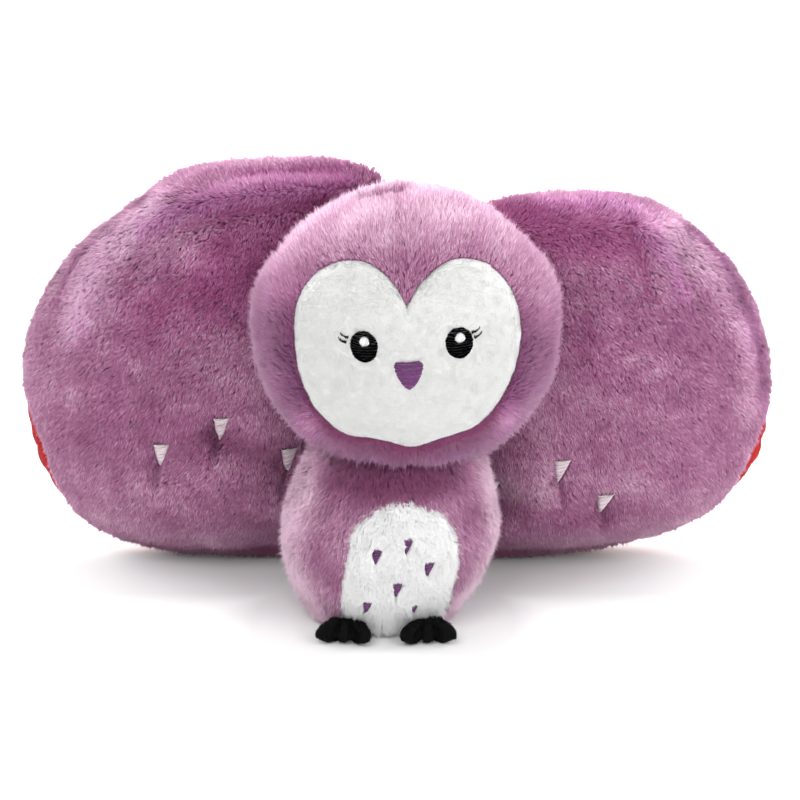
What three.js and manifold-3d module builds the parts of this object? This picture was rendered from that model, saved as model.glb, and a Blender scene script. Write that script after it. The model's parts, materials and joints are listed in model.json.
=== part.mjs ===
// Plush owl sitting between two pillow wings, in millimetres, +Z up, face towards -Y.
// Every soft form is a closed surface; its cloth cover, its stuffing and its stitching are layers of it.
import * as THREE from 'three';
import { mergeVertices } from 'three/addons/utils/BufferGeometryUtils.js';
import Module from 'manifold-3d';

const wasm = await Module();
wasm.setup();

// Cloth, thread and clearances
const cloth = 1.6;
const thread = 0.9;
const gap = 0.3;
const neckGap = 0.6;
const overrun = 30;
const floorCut = 0.5;

// Body
const bodyWidth = 125;
const bodyDepth = 116;
const bodyHeight = 112;
const neckRise = 10.5;
const bodyBaseX = -10.5;
const bodyBaseY = 3;
const neckX = -0.5;
const neckY = 0;
const leanPower = 1.3;
const baseSeam = 1.4;
const bodySides = 20;
const bodyHeightShares = [0, 0.05, 0.13, 0.24, 0.38, 0.53, 0.68, 0.82, 0.93, 1];
const bodyGirthShares = [0.62, 0.71, 0.8, 0.9, 0.975, 1, 0.955, 0.87, 0.795, 0.725];
const neckRiseShares = [0.5, 0.83];
const neckGirthShares = [0.83, 0.52];

// White belly panel, its outline as shares of its half width and its height
const bellyWidth = 68;
const bellyLow = 4;
const bellyHigh = 91;
const bellyX = -0.5;
const bellyOutlineShares = [
  [0.04, 0], [0.62, 0.05], [0.83, 0.17], [0.96, 0.38], [1, 0.58], [0.95, 0.72], [0.77, 0.87],
  [0.48, 0.96], [0.08, 1], [-0.32, 0.965], [-0.6, 0.89], [-0.8, 0.8], [-0.87, 0.66], [-0.97, 0.42],
  [-1, 0.2], [-0.86, 0.06], [-0.45, 0.02],
];

// Purple stitched triangles on the belly, [across, up] from the belly panel's middle line and the floor
const bellyMarkWidth = 7;
const bellyMarkHeight = 9;
const bellyMarkAcrossShares = [-0.37, 0.16, 0.52, -0.02, -0.54, 0.26];
const bellyMarkUpShares = [0.63, 0.7, 0.53, 0.39, 0.25, 0.22];
const bellyMarkSizeShares = [1, 1, 1, 1, 0.9, 0.7];

// Every stitched triangle: how far its tip leans, how far its sides bow and how wide its tip is
const markLeanShare = 0.24;
const markBowShare = 0.07;
const markTipShare = 0.14;

// Head
const headWidth = 174;
const headDepth = 145;
const headHeight = 161;
const headSink = 7;
const headX = 3.5;
const headY = -10;
const headRoll = THREE.MathUtils.degToRad(-1.8);
const headSeamY = 6;
const crownSeamX = -2;
const headSides = 22;
const headHeightShares = [-0.94, -0.78, -0.56, -0.3, 0, 0.28, 0.53, 0.75, 0.92];
const headGirthShares = [0.35, 0.635, 0.84, 0.96, 1, 0.965, 0.82, 0.615, 0.335];

// Face panel, its outline as shares of its half width and half height, from the notch and back to it
const faceWidth = 128;
const faceHeight = 109;
const faceX = 1.2;
const faceZ = -3.1;
const faceOutlineShares = [
  [0, 0.58], [-0.16, 0.86], [-0.4, 1], [-0.72, 0.91], [-0.95, 0.62], [-1, 0.2], [-0.95, -0.28],
  [-0.78, -0.66], [-0.55, -0.86], [-0.3, -0.88], [0, -1], [0.3, -0.89], [0.58, -0.8],
  [0.78, -0.55], [0.95, -0.15], [1, 0.25], [0.92, 0.63], [0.71, 0.9], [0.42, 0.98], [0.16, 0.83],
];

// Embroidered eyes, highlights, lashes and beak
const eyeWidth = 15.4;
const eyeHeight = 17.8;
const eyeTilt = THREE.MathUtils.degToRad(7);
const eyeLeftX = -23.4;
const eyeRightX = 30;
const eyeZ = 8;
const highlightRadius = 2.8;
const highlightRise = 3;
const lashLength = 4.8;
const lashWidth = 1.3;
const lashSag = 1;
const lashClearLeft = 2.3;
const lashClearRight = 0.7;
const lashSpread = 2.8;
const lashRise = 2.4;
const beakWidth = 15.8;
const beakHeight = 16.8;
const beakX = 1.3;
const beakTop = -0.4;
const beakOutlineShares = [
  [0, 0.97], [0.36, 1], [0.5, 0.88], [0.42, 0.5], [0.2, 0.12], [0, 0], [-0.2, 0.12],
  [-0.42, 0.5], [-0.5, 0.88], [-0.36, 1],
];

// Feet: three stuffed toes that fan out from one heel
const toeLength = 24;
const toeWidth = 11.8;
const toeHeight = 13.4;
const toeReach = 9.5;
const heelWidth = 22;
const heelLength = 24;
const heelSetback = 4;
const heelHeight = 11.5;
const footReach = 3;
const footLeftX = -32;
const footRightX = 15.5;
const toeFan = [-38, 6, 52].map(THREE.MathUtils.degToRad);
const toeLengthShares = [1, 0.7, 1];
const footRings = 5;
const footSides = 8;

// Wings: root tape, sweep, crown and the two outlines as shares of length and height
const tapeLength = 18;
const tapeHeight = 74;
const tapeLow = 26;
const tapeSplay = 4;
const beadRadius = 3;
const rootX = 6.5;
const wingSweep = THREE.MathUtils.degToRad(6);
const wingFront = 52;
const wingBack = 49;
const wingSwell = 118;
const rootShare = 0.2;
const crownShares = [2.3, 0.6];
const wingRingShares = [0.27, 0.54, 0.78, 0.94];
const wingSides = 26;
const seamTopSetback = 20;
const seamLowReach = 22;
const tuftDepth = 5;
const tuftReach = 20;
const wingMarkWidth = 10;
const wingMarkHeight = 15;
const wingLeft = {
  side: -1,
  length: 237,
  height: 265,
  outlineShares: [
    [0.005, 0.5], [0.005, 0.2], [0.08, 0.03], [0.25, 0], [0.44, 0], [0.62, 0.01], [0.775, 0.054],
    [0.896, 0.14], [0.972, 0.25], [1, 0.4], [0.982, 0.56], [0.905, 0.715], [0.778, 0.838], [0.63, 0.936],
    [0.49, 0.985], [0.3, 1], [0.12, 0.998], [0.02, 0.962], [0.002, 0.79],
  ],
  centreShares: [0.45, 0.42],
  markShares: [[0.584, 0.32], [0.422, 0.39], [0.251, 0.305]],
};
const wingRight = {
  side: 1,
  length: 234,
  height: 242.5,
  outlineShares: [
    [0.005, 0.5], [0.005, 0.2], [0.08, 0.03], [0.24, 0], [0.42, 0], [0.58, 0.026], [0.745, 0.08],
    [0.885, 0.165], [0.967, 0.262], [1, 0.44], [0.984, 0.58], [0.898, 0.768], [0.785, 0.892],
    [0.64, 0.974], [0.49, 1], [0.33, 0.998], [0.16, 0.958], [0.04, 0.87], [0.01, 0.7],
  ],
  centreShares: [0.42, 0.36],
  markShares: [[0.389, 0.312], [0.511, 0.212], [0.209, 0.236]],
};

// Colours of the cloths and threads
const mauvePlush = 0xb07a9d;
const whiteVelour = 0xf1f0ee;
const whitePlush = 0xf3f2f1;
const redVelour = 0xc81e26;
const blackPlush = 0x16161a;
const whiteFibre = 0xf6f4ef;
const blackThread = 0x101014;
const whiteThread = 0xf8f8f6;
const purpleThread = 0x6a4383;
const paleThread = 0xdcd2d7;

function material(colour, roughness) {
  return new THREE.MeshStandardMaterial({ color: colour, roughness, metalness: 0 });
}

function part(name, solid, colour, roughness = 0.9) {
  const { numProp, vertProperties, triVerts } = solid.getMesh();
  const geometry = new THREE.BufferGeometry();
  geometry.setAttribute('position', new THREE.BufferAttribute(vertProperties, numProp));
  geometry.setIndex(new THREE.BufferAttribute(triVerts, 1));
  geometry.computeVertexNormals();
  const mesh = new THREE.Mesh(geometry, material(colour, roughness));
  mesh.name = name;
  return mesh;
}

function toSolid(geometry) {
  const bare = geometry.clone();
  bare.deleteAttribute('normal');
  bare.deleteAttribute('uv');
  const merged = mergeVertices(bare);
  return new wasm.Manifold(new wasm.Mesh({
    numProp: 3,
    vertProperties: new Float32Array(merged.attributes.position.array),
    triVerts: new Uint32Array(merged.index.array),
  }));
}

// A closed surface through rings of points that run anticlockwise as seen from the last pole.
function closedForm(firstPole, rings, lastPole) {
  const sides = rings[0].length;
  const points = [firstPole, ...rings.flat(), lastPole];
  const at = (ring, step) => 1 + ring * sides + (step % sides);
  const faces = [];
  for (let step = 0; step < sides; step += 1) {
    faces.push(0, at(0, step + 1), at(0, step));
    for (let ring = 0; ring < rings.length - 1; ring += 1) {
      faces.push(at(ring, step), at(ring, step + 1), at(ring + 1, step + 1));
      faces.push(at(ring, step), at(ring + 1, step + 1), at(ring + 1, step));
    }
    faces.push(at(rings.length - 1, step), at(rings.length - 1, step + 1), points.length - 1);
  }
  const form = new THREE.BufferGeometry().setFromPoints(points);
  form.setIndex(faces);
  return form;
}

// The same form with each point moved outward along its normal.
function swollen(form, by) {
  const moved = form.clone();
  moved.computeVertexNormals();
  const { position, normal } = moved.attributes;
  for (let at = 0; at < position.count; at += 1) {
    position.setXYZ(
      at,
      position.getX(at) + by * normal.getX(at),
      position.getY(at) + by * normal.getY(at),
      position.getZ(at) + by * normal.getZ(at),
    );
  }
  return moved;
}

function layer(form, inner, outer) {
  return toSolid(swollen(form, outer)).subtract(toSolid(swollen(form, inner)));
}

const coverOf = (form) => layer(form, -cloth, 0);
const fillOf = (form) => toSolid(swollen(form, -cloth - gap));
const stitchesOn = (form) => layer(form, gap, gap + thread);

function ellipseRing(centre, halfWidth, halfDepth, sides) {
  const step = 2 * Math.PI / sides;
  return Array.from({ length: sides }, (_, at) => new THREE.Vector3(
    centre.x + halfWidth * Math.cos(at * step),
    centre.y + halfDepth * Math.sin(at * step),
    centre.z,
  ));
}

function boxBetween(low, high) {
  const size = high.clone().sub(low);
  const middle = high.clone().add(low).multiplyScalar(0.5);
  return toSolid(new THREE.BoxGeometry(...size).translate(...middle));
}

// An outline in X and Z, carried from the plane through the form's middle out past its front.
function frontPrism(outline, reach) {
  const solid = new THREE.ExtrudeGeometry(new THREE.Shape(outline), { depth: reach, bevelEnabled: false });
  return toSolid(solid.rotateX(Math.PI / 2));
}

// A smooth outline through share points; an open one keeps the sharp corner where it starts and ends.
function outlineThrough(shares, scaleX, scaleZ, x, z, steps, closed) {
  const points = shares.map(([across, up]) => new THREE.Vector3(x + across * scaleX, z + up * scaleZ, 0));
  const ends = closed ? points : [...points, points[0].clone()];
  const curve = new THREE.CatmullRomCurve3(ends, closed, 'centripetal');
  return curve.getSpacedPoints(steps).slice(0, steps).map((at) => new THREE.Vector2(at.x, at.y));
}

// An outline moved inward by a clearance, corner by corner.
function inset(outline, by) {
  const turn = THREE.ShapeUtils.isClockWise(outline) ? -1 : 1;
  return outline.map((at, n) => {
    const before = outline[(n + outline.length - 1) % outline.length];
    const after = outline[(n + 1) % outline.length];
    const along = after.clone().sub(before).normalize();
    return new THREE.Vector2(at.x - turn * along.y * by, at.y + turn * along.x * by);
  });
}

function ellipseOutline(x, z, halfWidth, halfHeight, tilt, steps) {
  const curve = new THREE.EllipseCurve(x, z, halfWidth, halfHeight, 0, 2 * Math.PI, false, tilt);
  return curve.getPoints(steps).slice(0, steps);
}

// A stitched triangle that hangs point down, leans to the left and bows out a little at its sides.
function triangleOutline(x, z, width, height) {
  const lean = -markLeanShare * width;
  const bow = markBowShare * width;
  const tip = markTipShare * width / 2;
  return [
    new THREE.Vector2(x - width / 2, z + height / 2),
    new THREE.Vector2(x + lean / 2 - width / 4 - bow, z),
    new THREE.Vector2(x + lean - tip, z - height / 2),
    new THREE.Vector2(x + lean + tip, z - height / 2),
    new THREE.Vector2(x + lean / 2 + width / 4 + bow, z),
    new THREE.Vector2(x + width / 2, z + height / 2),
  ];
}

// Body

const neckTop = bodyHeight + neckRise;

function bodyForm() {
  const ring = (heightShare, girthShare) => {
    const lean = Math.min(heightShare, 1) ** leanPower;
    const round = THREE.MathUtils.smoothstep(heightShare, 0.6, 1);
    const halfWidth = girthShare * bodyWidth / 2;
    const halfDepth = girthShare * THREE.MathUtils.lerp(bodyDepth, bodyWidth, round) / 2;
    const centre = new THREE.Vector3(
      THREE.MathUtils.lerp(bodyBaseX, neckX, lean),
      THREE.MathUtils.lerp(bodyBaseY, neckY, lean),
      heightShare * bodyHeight,
    );
    return ellipseRing(centre, halfWidth, halfDepth, bodySides);
  };
  const rings = bodyHeightShares.map((share, at) => ring(share, bodyGirthShares[at]));
  const neckGirth = bodyGirthShares[bodyGirthShares.length - 1];
  neckRiseShares.forEach((share, at) => {
    const height = (bodyHeight + share * neckRise) / bodyHeight;
    rings.push(ring(height, neckGirthShares[at] * neckGirth));
  });
  const base = new THREE.Vector3(bodyBaseX, bodyBaseY, 0);
  return closedForm(base, rings, new THREE.Vector3(neckX, neckY, neckTop));
}

function makeBody() {
  const group = new THREE.Group();
  const form = bodyForm();
  const cover = coverOf(form);
  const reach = bodyDepth / 2 + overrun;
  const baseRadius = bodyGirthShares[0] * bodyWidth / 2 - baseSeam;
  const baseDisc = (radius) => toSolid(
    new THREE.CylinderGeometry(radius, radius, 2 * cloth + gap, bodySides)
      .rotateX(Math.PI / 2)
      .translate(bodyBaseX, bodyBaseY, 0),
  );
  const bellyOutline = outlineThrough(
    bellyOutlineShares, bellyWidth / 2, bellyHigh - bellyLow, bellyX, bellyLow, 30, true,
  );
  const far = bodyWidth + overrun;
  const frontHalf = boxBetween(
    new THREE.Vector3(-far, -far, -overrun),
    new THREE.Vector3(far, bodyBaseY - gap / 2, neckTop + overrun),
  );
  const backHalf = boxBetween(
    new THREE.Vector3(-far, bodyBaseY + gap / 2, -overrun),
    new THREE.Vector3(far, far, neckTop + overrun),
  );
  const sides = cover.subtract(baseDisc(baseRadius + gap));
  const front = sides.intersect(frontHalf);
  group.add(part('body_cover_front', front.subtract(frontPrism(bellyOutline, reach)), mauvePlush));
  group.add(part('body_cover_back', sides.intersect(backHalf), mauvePlush));
  group.add(part('body_base', cover.intersect(baseDisc(baseRadius)), mauvePlush));
  group.add(part('belly_panel', front.intersect(frontPrism(inset(bellyOutline, gap), reach)), whitePlush));
  group.add(part('body_fill', fillOf(form), whiteFibre));
  const stitches = stitchesOn(form);
  bellyMarkAcrossShares.forEach((across, at) => {
    const size = bellyMarkSizeShares[at];
    const outline = triangleOutline(
      bellyX + across * bellyWidth / 2, bellyMarkUpShares[at] * bellyHigh,
      size * bellyMarkWidth, size * bellyMarkHeight,
    );
    const mark = stitches.intersect(frontPrism(outline, reach));
    group.add(part(`belly_mark_${at + 1}`, mark, purpleThread, 0.55));
  });
  return group;
}

// Feet

const footY = bodyBaseY - bodyGirthShares[1] * bodyDepth / 2 - footReach;

function toe(angle, share, shrink) {
  const length = share * toeLength;
  return new THREE.SphereGeometry(1, footSides, footRings)
    .scale(toeWidth / 2 - shrink, length / 2 - shrink, toeHeight / 2 - shrink)
    .translate(0, -toeReach * share, 0)
    .rotateZ(angle);
}

function footBlank(side, shrink) {
  const heel = new THREE.SphereGeometry(1, footSides, footRings)
    .scale(heelWidth / 2 - shrink, heelLength / 2 - shrink, heelHeight / 2 - shrink)
    .translate(0, heelSetback, 0);
  return toeFan.reduce(
    (foot, angle, at) => foot.add(toSolid(toe(side * angle, toeLengthShares[at], shrink))),
    toSolid(heel),
  );
}

// The cover is open at the heel, where it is sewn to the body.
function makeFoot(side, x) {
  const group = new THREE.Group();
  group.position.set(x, footY, toeHeight / 2 - floorCut);
  const bodySpace = toSolid(swollen(bodyForm(), gap).translate(-x, -footY, -group.position.z));
  const far = toeLength + heelLength + overrun;
  const ground = boxBetween(
    new THREE.Vector3(-far, -far, -far),
    new THREE.Vector3(far, far, -group.position.z),
  );
  const cover = footBlank(side, 0).subtract(footBlank(side, cloth));
  const fill = footBlank(side, cloth + gap);
  const name = side < 0 ? 'left' : 'right';
  group.add(part(`foot_${name}_cover`, cover.subtract(bodySpace).subtract(ground), blackPlush));
  group.add(part(`foot_${name}_fill`, fill.subtract(bodySpace), whiteFibre));
  return group;
}

// Head

const headCentre = new THREE.Vector3(headX, headY, bodyHeight - headSink + headHeight / 2);

function headForm() {
  const rings = headHeightShares.map((share, at) => ellipseRing(
    new THREE.Vector3(0, 0, share * headHeight / 2),
    headGirthShares[at] * headWidth / 2,
    headGirthShares[at] * headDepth / 2,
    headSides,
  ));
  return closedForm(
    new THREE.Vector3(0, 0, -headHeight / 2), rings, new THREE.Vector3(0, 0, headHeight / 2),
  );
}

// A lash is a short bow of thread that tapers to its tip.
function lashOutline(x, z, side, rise) {
  const steps = 4;
  const spine = Array.from({ length: steps + 1 }, (_, at) => {
    const share = at / steps;
    const bow = 4 * share * (1 - share) * lashSag;
    return new THREE.Vector2(x + side * share * lashLength, z + share * rise - bow);
  });
  const width = (at) => lashWidth * (1 - 0.55 * at / steps) / 2;
  const upper = spine.map((at, n) => new THREE.Vector2(at.x, at.y + width(n)));
  const lower = spine.map((at, n) => new THREE.Vector2(at.x, at.y - width(n)));
  return [...lower, ...upper.reverse()];
}

function makeHead() {
  const group = new THREE.Group();
  group.position.copy(headCentre);
  group.rotation.y = headRoll;
  group.updateMatrix();
  const neckSpace = toSolid(swollen(bodyForm(), neckGap).applyMatrix4(group.matrix.clone().invert()));
  const form = headForm();
  const cover = coverOf(form).subtract(neckSpace);
  const reach = headDepth / 2 + overrun;
  const far = headWidth + overrun;
  const faceOutline = outlineThrough(
    faceOutlineShares, faceWidth / 2, faceHeight / 2, faceX, faceZ, 40, false,
  );
  const facePrism = frontPrism(faceOutline, reach);
  const front = cover.intersect(boxBetween(
    new THREE.Vector3(-far, -far, -far),
    new THREE.Vector3(far, headSeamY - gap / 2, far),
  ));
  const back = cover.intersect(boxBetween(
    new THREE.Vector3(-far, headSeamY + gap / 2, -far),
    new THREE.Vector3(far, far, far),
  ));
  const leftSpace = boxBetween(
    new THREE.Vector3(-far, -far, -far),
    new THREE.Vector3(crownSeamX - gap / 2, far, far),
  );
  const rightSpace = boxBetween(
    new THREE.Vector3(crownSeamX + gap / 2, -far, -far),
    new THREE.Vector3(far, far, far),
  );
  const frame = front.subtract(facePrism);
  group.add(part('head_cover_left', frame.intersect(leftSpace), mauvePlush));
  group.add(part('head_cover_right', frame.intersect(rightSpace), mauvePlush));
  group.add(part('head_cover_back', back, mauvePlush));
  group.add(part('head_fill', fillOf(form).subtract(neckSpace), whiteFibre));
  group.add(part('face_panel', front.intersect(frontPrism(inset(faceOutline, gap), reach)), whiteVelour));
  const stitches = stitchesOn(form);
  const stitched = (outline) => stitches.intersect(frontPrism(outline, reach));
  const lashClears = { left: lashClearLeft, right: lashClearRight };
  [['left', eyeLeftX, -1], ['right', eyeRightX, 1]].forEach(([name, x, side]) => {
    const eye = ellipseOutline(x, eyeZ, eyeWidth / 2, eyeHeight / 2, eyeTilt, 20);
    const highlight = ellipseOutline(x + gap, eyeZ + highlightRise, highlightRadius, highlightRadius, 0, 12);
    group.add(part(`eye_${name}`, stitched(eye).subtract(frontPrism(highlight, reach)), blackThread, 0.5));
    group.add(part(`eye_highlight_${name}`, stitched(inset(highlight, gap)), whiteThread, 0.5));
    [['lower', lashRise], ['upper', lashRise + lashSpread]].forEach(([level, up]) => {
      const edge = eyeWidth / 2 * Math.sqrt(1 - (2 * up / eyeHeight) ** 2);
      const lash = lashOutline(x + side * (edge + lashClears[name]), eyeZ + up, side, lashRise);
      group.add(part(`eyelash_${name}_${level}`, stitched(lash), blackThread, 0.5));
    });
  });
  const beak = outlineThrough(beakOutlineShares, beakWidth, beakHeight, beakX, beakTop - beakHeight, 18, true);
  group.add(part('beak', stitched(beak), purpleThread, 0.5));
  return group;
}

// Wings

const bodyBack = bodyBaseY + bodyDepth / 2;
const rootY = bodyBack + tapeLength;

function wingPlace(wing, [across, up]) {
  return new THREE.Vector3(wing.side * across * wing.length, 0, up * wing.height);
}

// Half thickness of the pillow: full at its middle, drawn in to the seam, pinched to the root.
function wingThickness(wing, ring, x, full) {
  const [roundness, fall] = crownShares;
  const crown = (1 - ring ** roundness) ** fall;
  const ease = Math.max(0, 1 - wing.side * x / wingSwell);
  return full * crown * (rootShare + (1 - rootShare) * (1 - ease ** 2));
}

function tuftPull(wing, at) {
  return wing.markShares.reduce((pull, share) => {
    const away = wingPlace(wing, share).distanceTo(new THREE.Vector3(at.x, 0, at.z));
    return pull + tuftDepth * Math.exp(-((away / tuftReach) ** 2));
  }, 0);
}

function wingRim(wing) {
  const rim = outlineThrough(wing.outlineShares, wing.side * wing.length, wing.height, 0, 0, wingSides, true);
  const ordered = wing.side < 0 ? rim.reverse() : rim;
  const lowest = Math.min(...rim.map((at) => at.y));
  return ordered.map((at) => new THREE.Vector3(at.x, 0, at.y - lowest - floorCut));
}

function wingForm(wing, rim) {
  const centre = wingPlace(wing, wing.centreShares);
  const faceRing = (ring, full, pulled) => rim.map((edge) => {
    const at = centre.clone().lerp(edge, ring);
    const depth = wingThickness(wing, ring, at.x, full) - (pulled ? tuftPull(wing, at) : 0);
    return at.setY(pulled ? -depth : depth);
  });
  const backRings = wingRingShares.map((ring) => faceRing(ring, wingBack, false));
  const frontRings = wingRingShares.map((ring) => faceRing(ring, wingFront, true)).reverse();
  const backPole = centre.clone().setY(wingThickness(wing, 0, centre.x, wingBack));
  const frontPole = centre.clone().setY(tuftPull(wing, centre) - wingThickness(wing, 0, centre.x, wingFront));
  return closedForm(backPole, [...backRings, rim, ...frontRings], frontPole);
}

// The seam between mauve front and red back runs behind the top edge and comes forward low outside.
function seamReach(wing, edge) {
  const up = edge.z / wing.height;
  const across = wing.side * edge.x / wing.length;
  const top = seamTopSetback * THREE.MathUtils.smoothstep(up, 0.45, 0.95);
  const low = seamLowReach * Math.exp(-(((up - 0.27) / 0.14) ** 2));
  return low * THREE.MathUtils.smoothstep(across, 0.6, 0.9) - top;
}

function seamSpace(wing, rim, front) {
  const centre = wingPlace(wing, wing.centreShares);
  const past = 1.4;
  const shift = front ? -gap / 2 : gap / 2;
  const ring = rim.map((edge) => {
    const at = centre.clone().lerp(edge, past);
    return at.setY(shift - past * seamReach(wing, edge));
  });
  const near = centre.clone().setY(shift);
  const far = (front ? -1 : 1) * (wingFront + wingBack + overrun) * 4;
  const apex = centre.clone().setY(far);
  return front ? toSolid(closedForm(near, [ring], apex)) : toSolid(closedForm(apex, [ring], near));
}

function makeWing(wing) {
  const group = new THREE.Group();
  group.position.set(wing.side * rootX, rootY, 0);
  group.rotation.z = wing.side * wingSweep;
  const name = wing.side < 0 ? 'left' : 'right';
  const rim = wingRim(wing);
  const form = wingForm(wing, rim);
  const far = wing.length + overrun;
  const ground = boxBetween(new THREE.Vector3(-far, -far, -far), new THREE.Vector3(far, far, 0));
  const beadSpace = toSolid(
    new THREE.CylinderGeometry(beadRadius + gap, beadRadius + gap, tapeHeight + 2 * gap, 16)
      .rotateX(Math.PI / 2)
      .translate(0, 0, tapeLow + tapeHeight / 2),
  );
  const cover = coverOf(form).subtract(ground).subtract(beadSpace);
  const fill = fillOf(form).subtract(beadSpace);
  group.add(part(`wing_${name}_front`, cover.intersect(seamSpace(wing, rim, true)), mauvePlush));
  group.add(part(`wing_${name}_back`, cover.intersect(seamSpace(wing, rim, false)), redVelour, 0.7));
  group.add(part(`wing_${name}_fill`, fill, whiteFibre));
  const stitches = stitchesOn(form);
  wing.markShares.forEach((share, at) => {
    const place = wingPlace(wing, share);
    const outline = triangleOutline(place.x, place.z, wingMarkWidth, wingMarkHeight);
    const mark = stitches.intersect(frontPrism(outline, wingFront + overrun));
    group.add(part(`wing_${name}_mark_${at + 1}`, mark, paleThread, 0.6));
  });
  return group;
}

// The tape sewn to the body's back seam; its rolled edge is the bead that the wing swings about.
function makeTape(side) {
  const group = new THREE.Group();
  group.position.set(side * rootX, rootY, tapeLow);
  const startX = side * (rootX - tapeSplay);
  const from = new THREE.Vector2(startX - side * rootX, bodyBaseY - rootY);
  const along = from.clone().normalize();
  const across = new THREE.Vector2(-along.y, along.x).multiplyScalar(cloth / 2);
  const strip = new THREE.Shape([
    across.clone(), from.clone().add(across), from.clone().sub(across), across.clone().negate(),
  ]);
  const web = toSolid(new THREE.ExtrudeGeometry(strip, { depth: tapeHeight, bevelEnabled: false }));
  const bead = toSolid(
    new THREE.CylinderGeometry(beadRadius, beadRadius, tapeHeight, 16)
      .rotateX(Math.PI / 2)
      .translate(0, 0, tapeHeight / 2),
  );
  const bodySpace = toSolid(swollen(bodyForm(), gap).translate(-side * rootX, -rootY, -tapeLow));
  const name = side < 0 ? 'left' : 'right';
  group.add(part(`wing_${name}_root_tape`, web.add(bead).subtract(bodySpace), mauvePlush));
  return group;
}

const owl = new THREE.Group();
owl.add(makeBody());
owl.add(makeFoot(-1, footLeftX));
owl.add(makeFoot(1, footRightX));
owl.add(makeHead());
owl.add(makeTape(-1));
owl.add(makeTape(1));
owl.add(makeWing(wingLeft));
owl.add(makeWing(wingRight));

// The origin is on the floor, at the middle of the whole toy's width and depth.
const bounds = new THREE.Box3().setFromObject(owl, true);
const middle = bounds.getCenter(new THREE.Vector3());
owl.position.set(-middle.x, -middle.y, -bounds.min.z);

export default owl;
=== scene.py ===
import json
import math

import bpy
import numpy as np
from mathutils import Matrix, Vector
from mathutils.bvhtree import BVHTree
from mathutils.kdtree import KDTree


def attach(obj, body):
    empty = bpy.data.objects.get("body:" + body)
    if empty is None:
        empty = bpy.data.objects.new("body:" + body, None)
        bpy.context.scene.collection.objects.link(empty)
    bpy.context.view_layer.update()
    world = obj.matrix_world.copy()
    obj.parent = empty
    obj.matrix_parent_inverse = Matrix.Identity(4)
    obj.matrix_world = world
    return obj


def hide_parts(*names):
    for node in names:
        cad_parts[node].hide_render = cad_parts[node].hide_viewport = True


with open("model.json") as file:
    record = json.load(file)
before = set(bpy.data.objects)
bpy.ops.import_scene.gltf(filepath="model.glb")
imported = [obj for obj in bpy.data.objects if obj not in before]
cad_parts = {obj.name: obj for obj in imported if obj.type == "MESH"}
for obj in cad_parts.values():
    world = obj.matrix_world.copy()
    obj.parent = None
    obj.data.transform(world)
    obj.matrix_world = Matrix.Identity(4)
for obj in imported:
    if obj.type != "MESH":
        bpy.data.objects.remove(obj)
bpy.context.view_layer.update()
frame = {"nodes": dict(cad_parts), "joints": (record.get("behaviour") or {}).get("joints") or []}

MM = 0.001
HINGES = {joint["name"]: Vector(joint["pos_m"]) for joint in frame["joints"]}

# Body, as the solids have it
BODY_WIDTH = 125 * MM
BODY_DEPTH = 116 * MM
BODY_HEIGHT = 112 * MM
NECK_RISE = 10.5 * MM
BODY_BASE = np.array([-10.5, 3]) * MM
NECK = np.array([-0.5, 0]) * MM
LEAN_POWER = 1.3
BODY_HEIGHT_SHARES = [0, 0, 0.05, 0.13, 0.24, 0.38, 0.53, 0.68, 0.82, 0.93, 1]
BODY_GIRTH_SHARES = [0, 0.62, 0.71, 0.8, 0.9, 0.975, 1, 0.955, 0.87, 0.795, 0.725]
NECK_RISE_SHARES = [0.5, 0.83, 1]
NECK_GIRTH_SHARES = [0.83, 0.52, 0]

# Belly patch and its stitched triangles
BELLY_WIDTH = 68 * MM
BELLY_LOW = 4 * MM
BELLY_HIGH = 91 * MM
BELLY_X = -0.5 * MM
BELLY_OUTLINE_SHARES = [
    [0.04, 0], [0.62, 0.05], [0.83, 0.17], [0.96, 0.38], [1, 0.58], [0.95, 0.72], [0.77, 0.87],
    [0.48, 0.96], [0.08, 1], [-0.32, 0.965], [-0.6, 0.89], [-0.8, 0.8], [-0.87, 0.66],
    [-0.97, 0.42], [-1, 0.2], [-0.86, 0.06], [-0.45, 0.02],
]
BELLY_MARK_SIZE = np.array([7, 9]) * MM
BELLY_MARK_SHARES = [
    [-0.37, 0.63, 1], [0.16, 0.7, 1], [0.52, 0.53, 1], [-0.02, 0.39, 1], [-0.54, 0.25, 0.9],
    [0.26, 0.22, 0.7],
]

# Head and face
HEAD_WIDTH = 174 * MM
HEAD_DEPTH = 145 * MM
HEAD_HEIGHT = 161 * MM
HEAD_SINK = 7 * MM
HEAD_X = 3.5 * MM
HEAD_Y = -10 * MM
HEAD_ROLL = math.radians(-1.8)
HEAD_SEAM_Y = 6 * MM
CROWN_SEAM_X = -2 * MM
HEAD_HEIGHT_SHARES = [-1, -0.94, -0.78, -0.56, -0.3, 0, 0.28, 0.53, 0.75, 0.92, 1]
HEAD_GIRTH_SHARES = [0, 0.35, 0.635, 0.84, 0.96, 1, 0.965, 0.82, 0.615, 0.335, 0]
FACE_SIZE = np.array([128, 109]) * MM
FACE_CENTRE = np.array([1.2, -3.1]) * MM
FACE_OUTLINE_SHARES = [
    [0, 0.58], [-0.16, 0.86], [-0.4, 1], [-0.72, 0.91], [-0.95, 0.62], [-1, 0.2], [-0.95, -0.28],
    [-0.78, -0.66], [-0.55, -0.86], [-0.3, -0.88], [0, -1], [0.3, -0.89], [0.58, -0.8],
    [0.78, -0.55], [0.95, -0.15], [1, 0.25], [0.92, 0.63], [0.71, 0.9], [0.42, 0.98], [0.16, 0.83],
]
EYE_SIZE = np.array([15.4, 17.8]) * MM
EYE_TILT = math.radians(7)
EYE_X = {"left": -23.4 * MM, "right": 30 * MM}
EYE_Z = 8 * MM
HIGHLIGHT_RADIUS = 2.8 * MM
HIGHLIGHT_RISE = 3 * MM
LASH_LENGTH = 4.8 * MM
LASH_WIDTH = 1.3 * MM
LASH_FULLNESS = 1.25
LASH_SAG = 1 * MM
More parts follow.
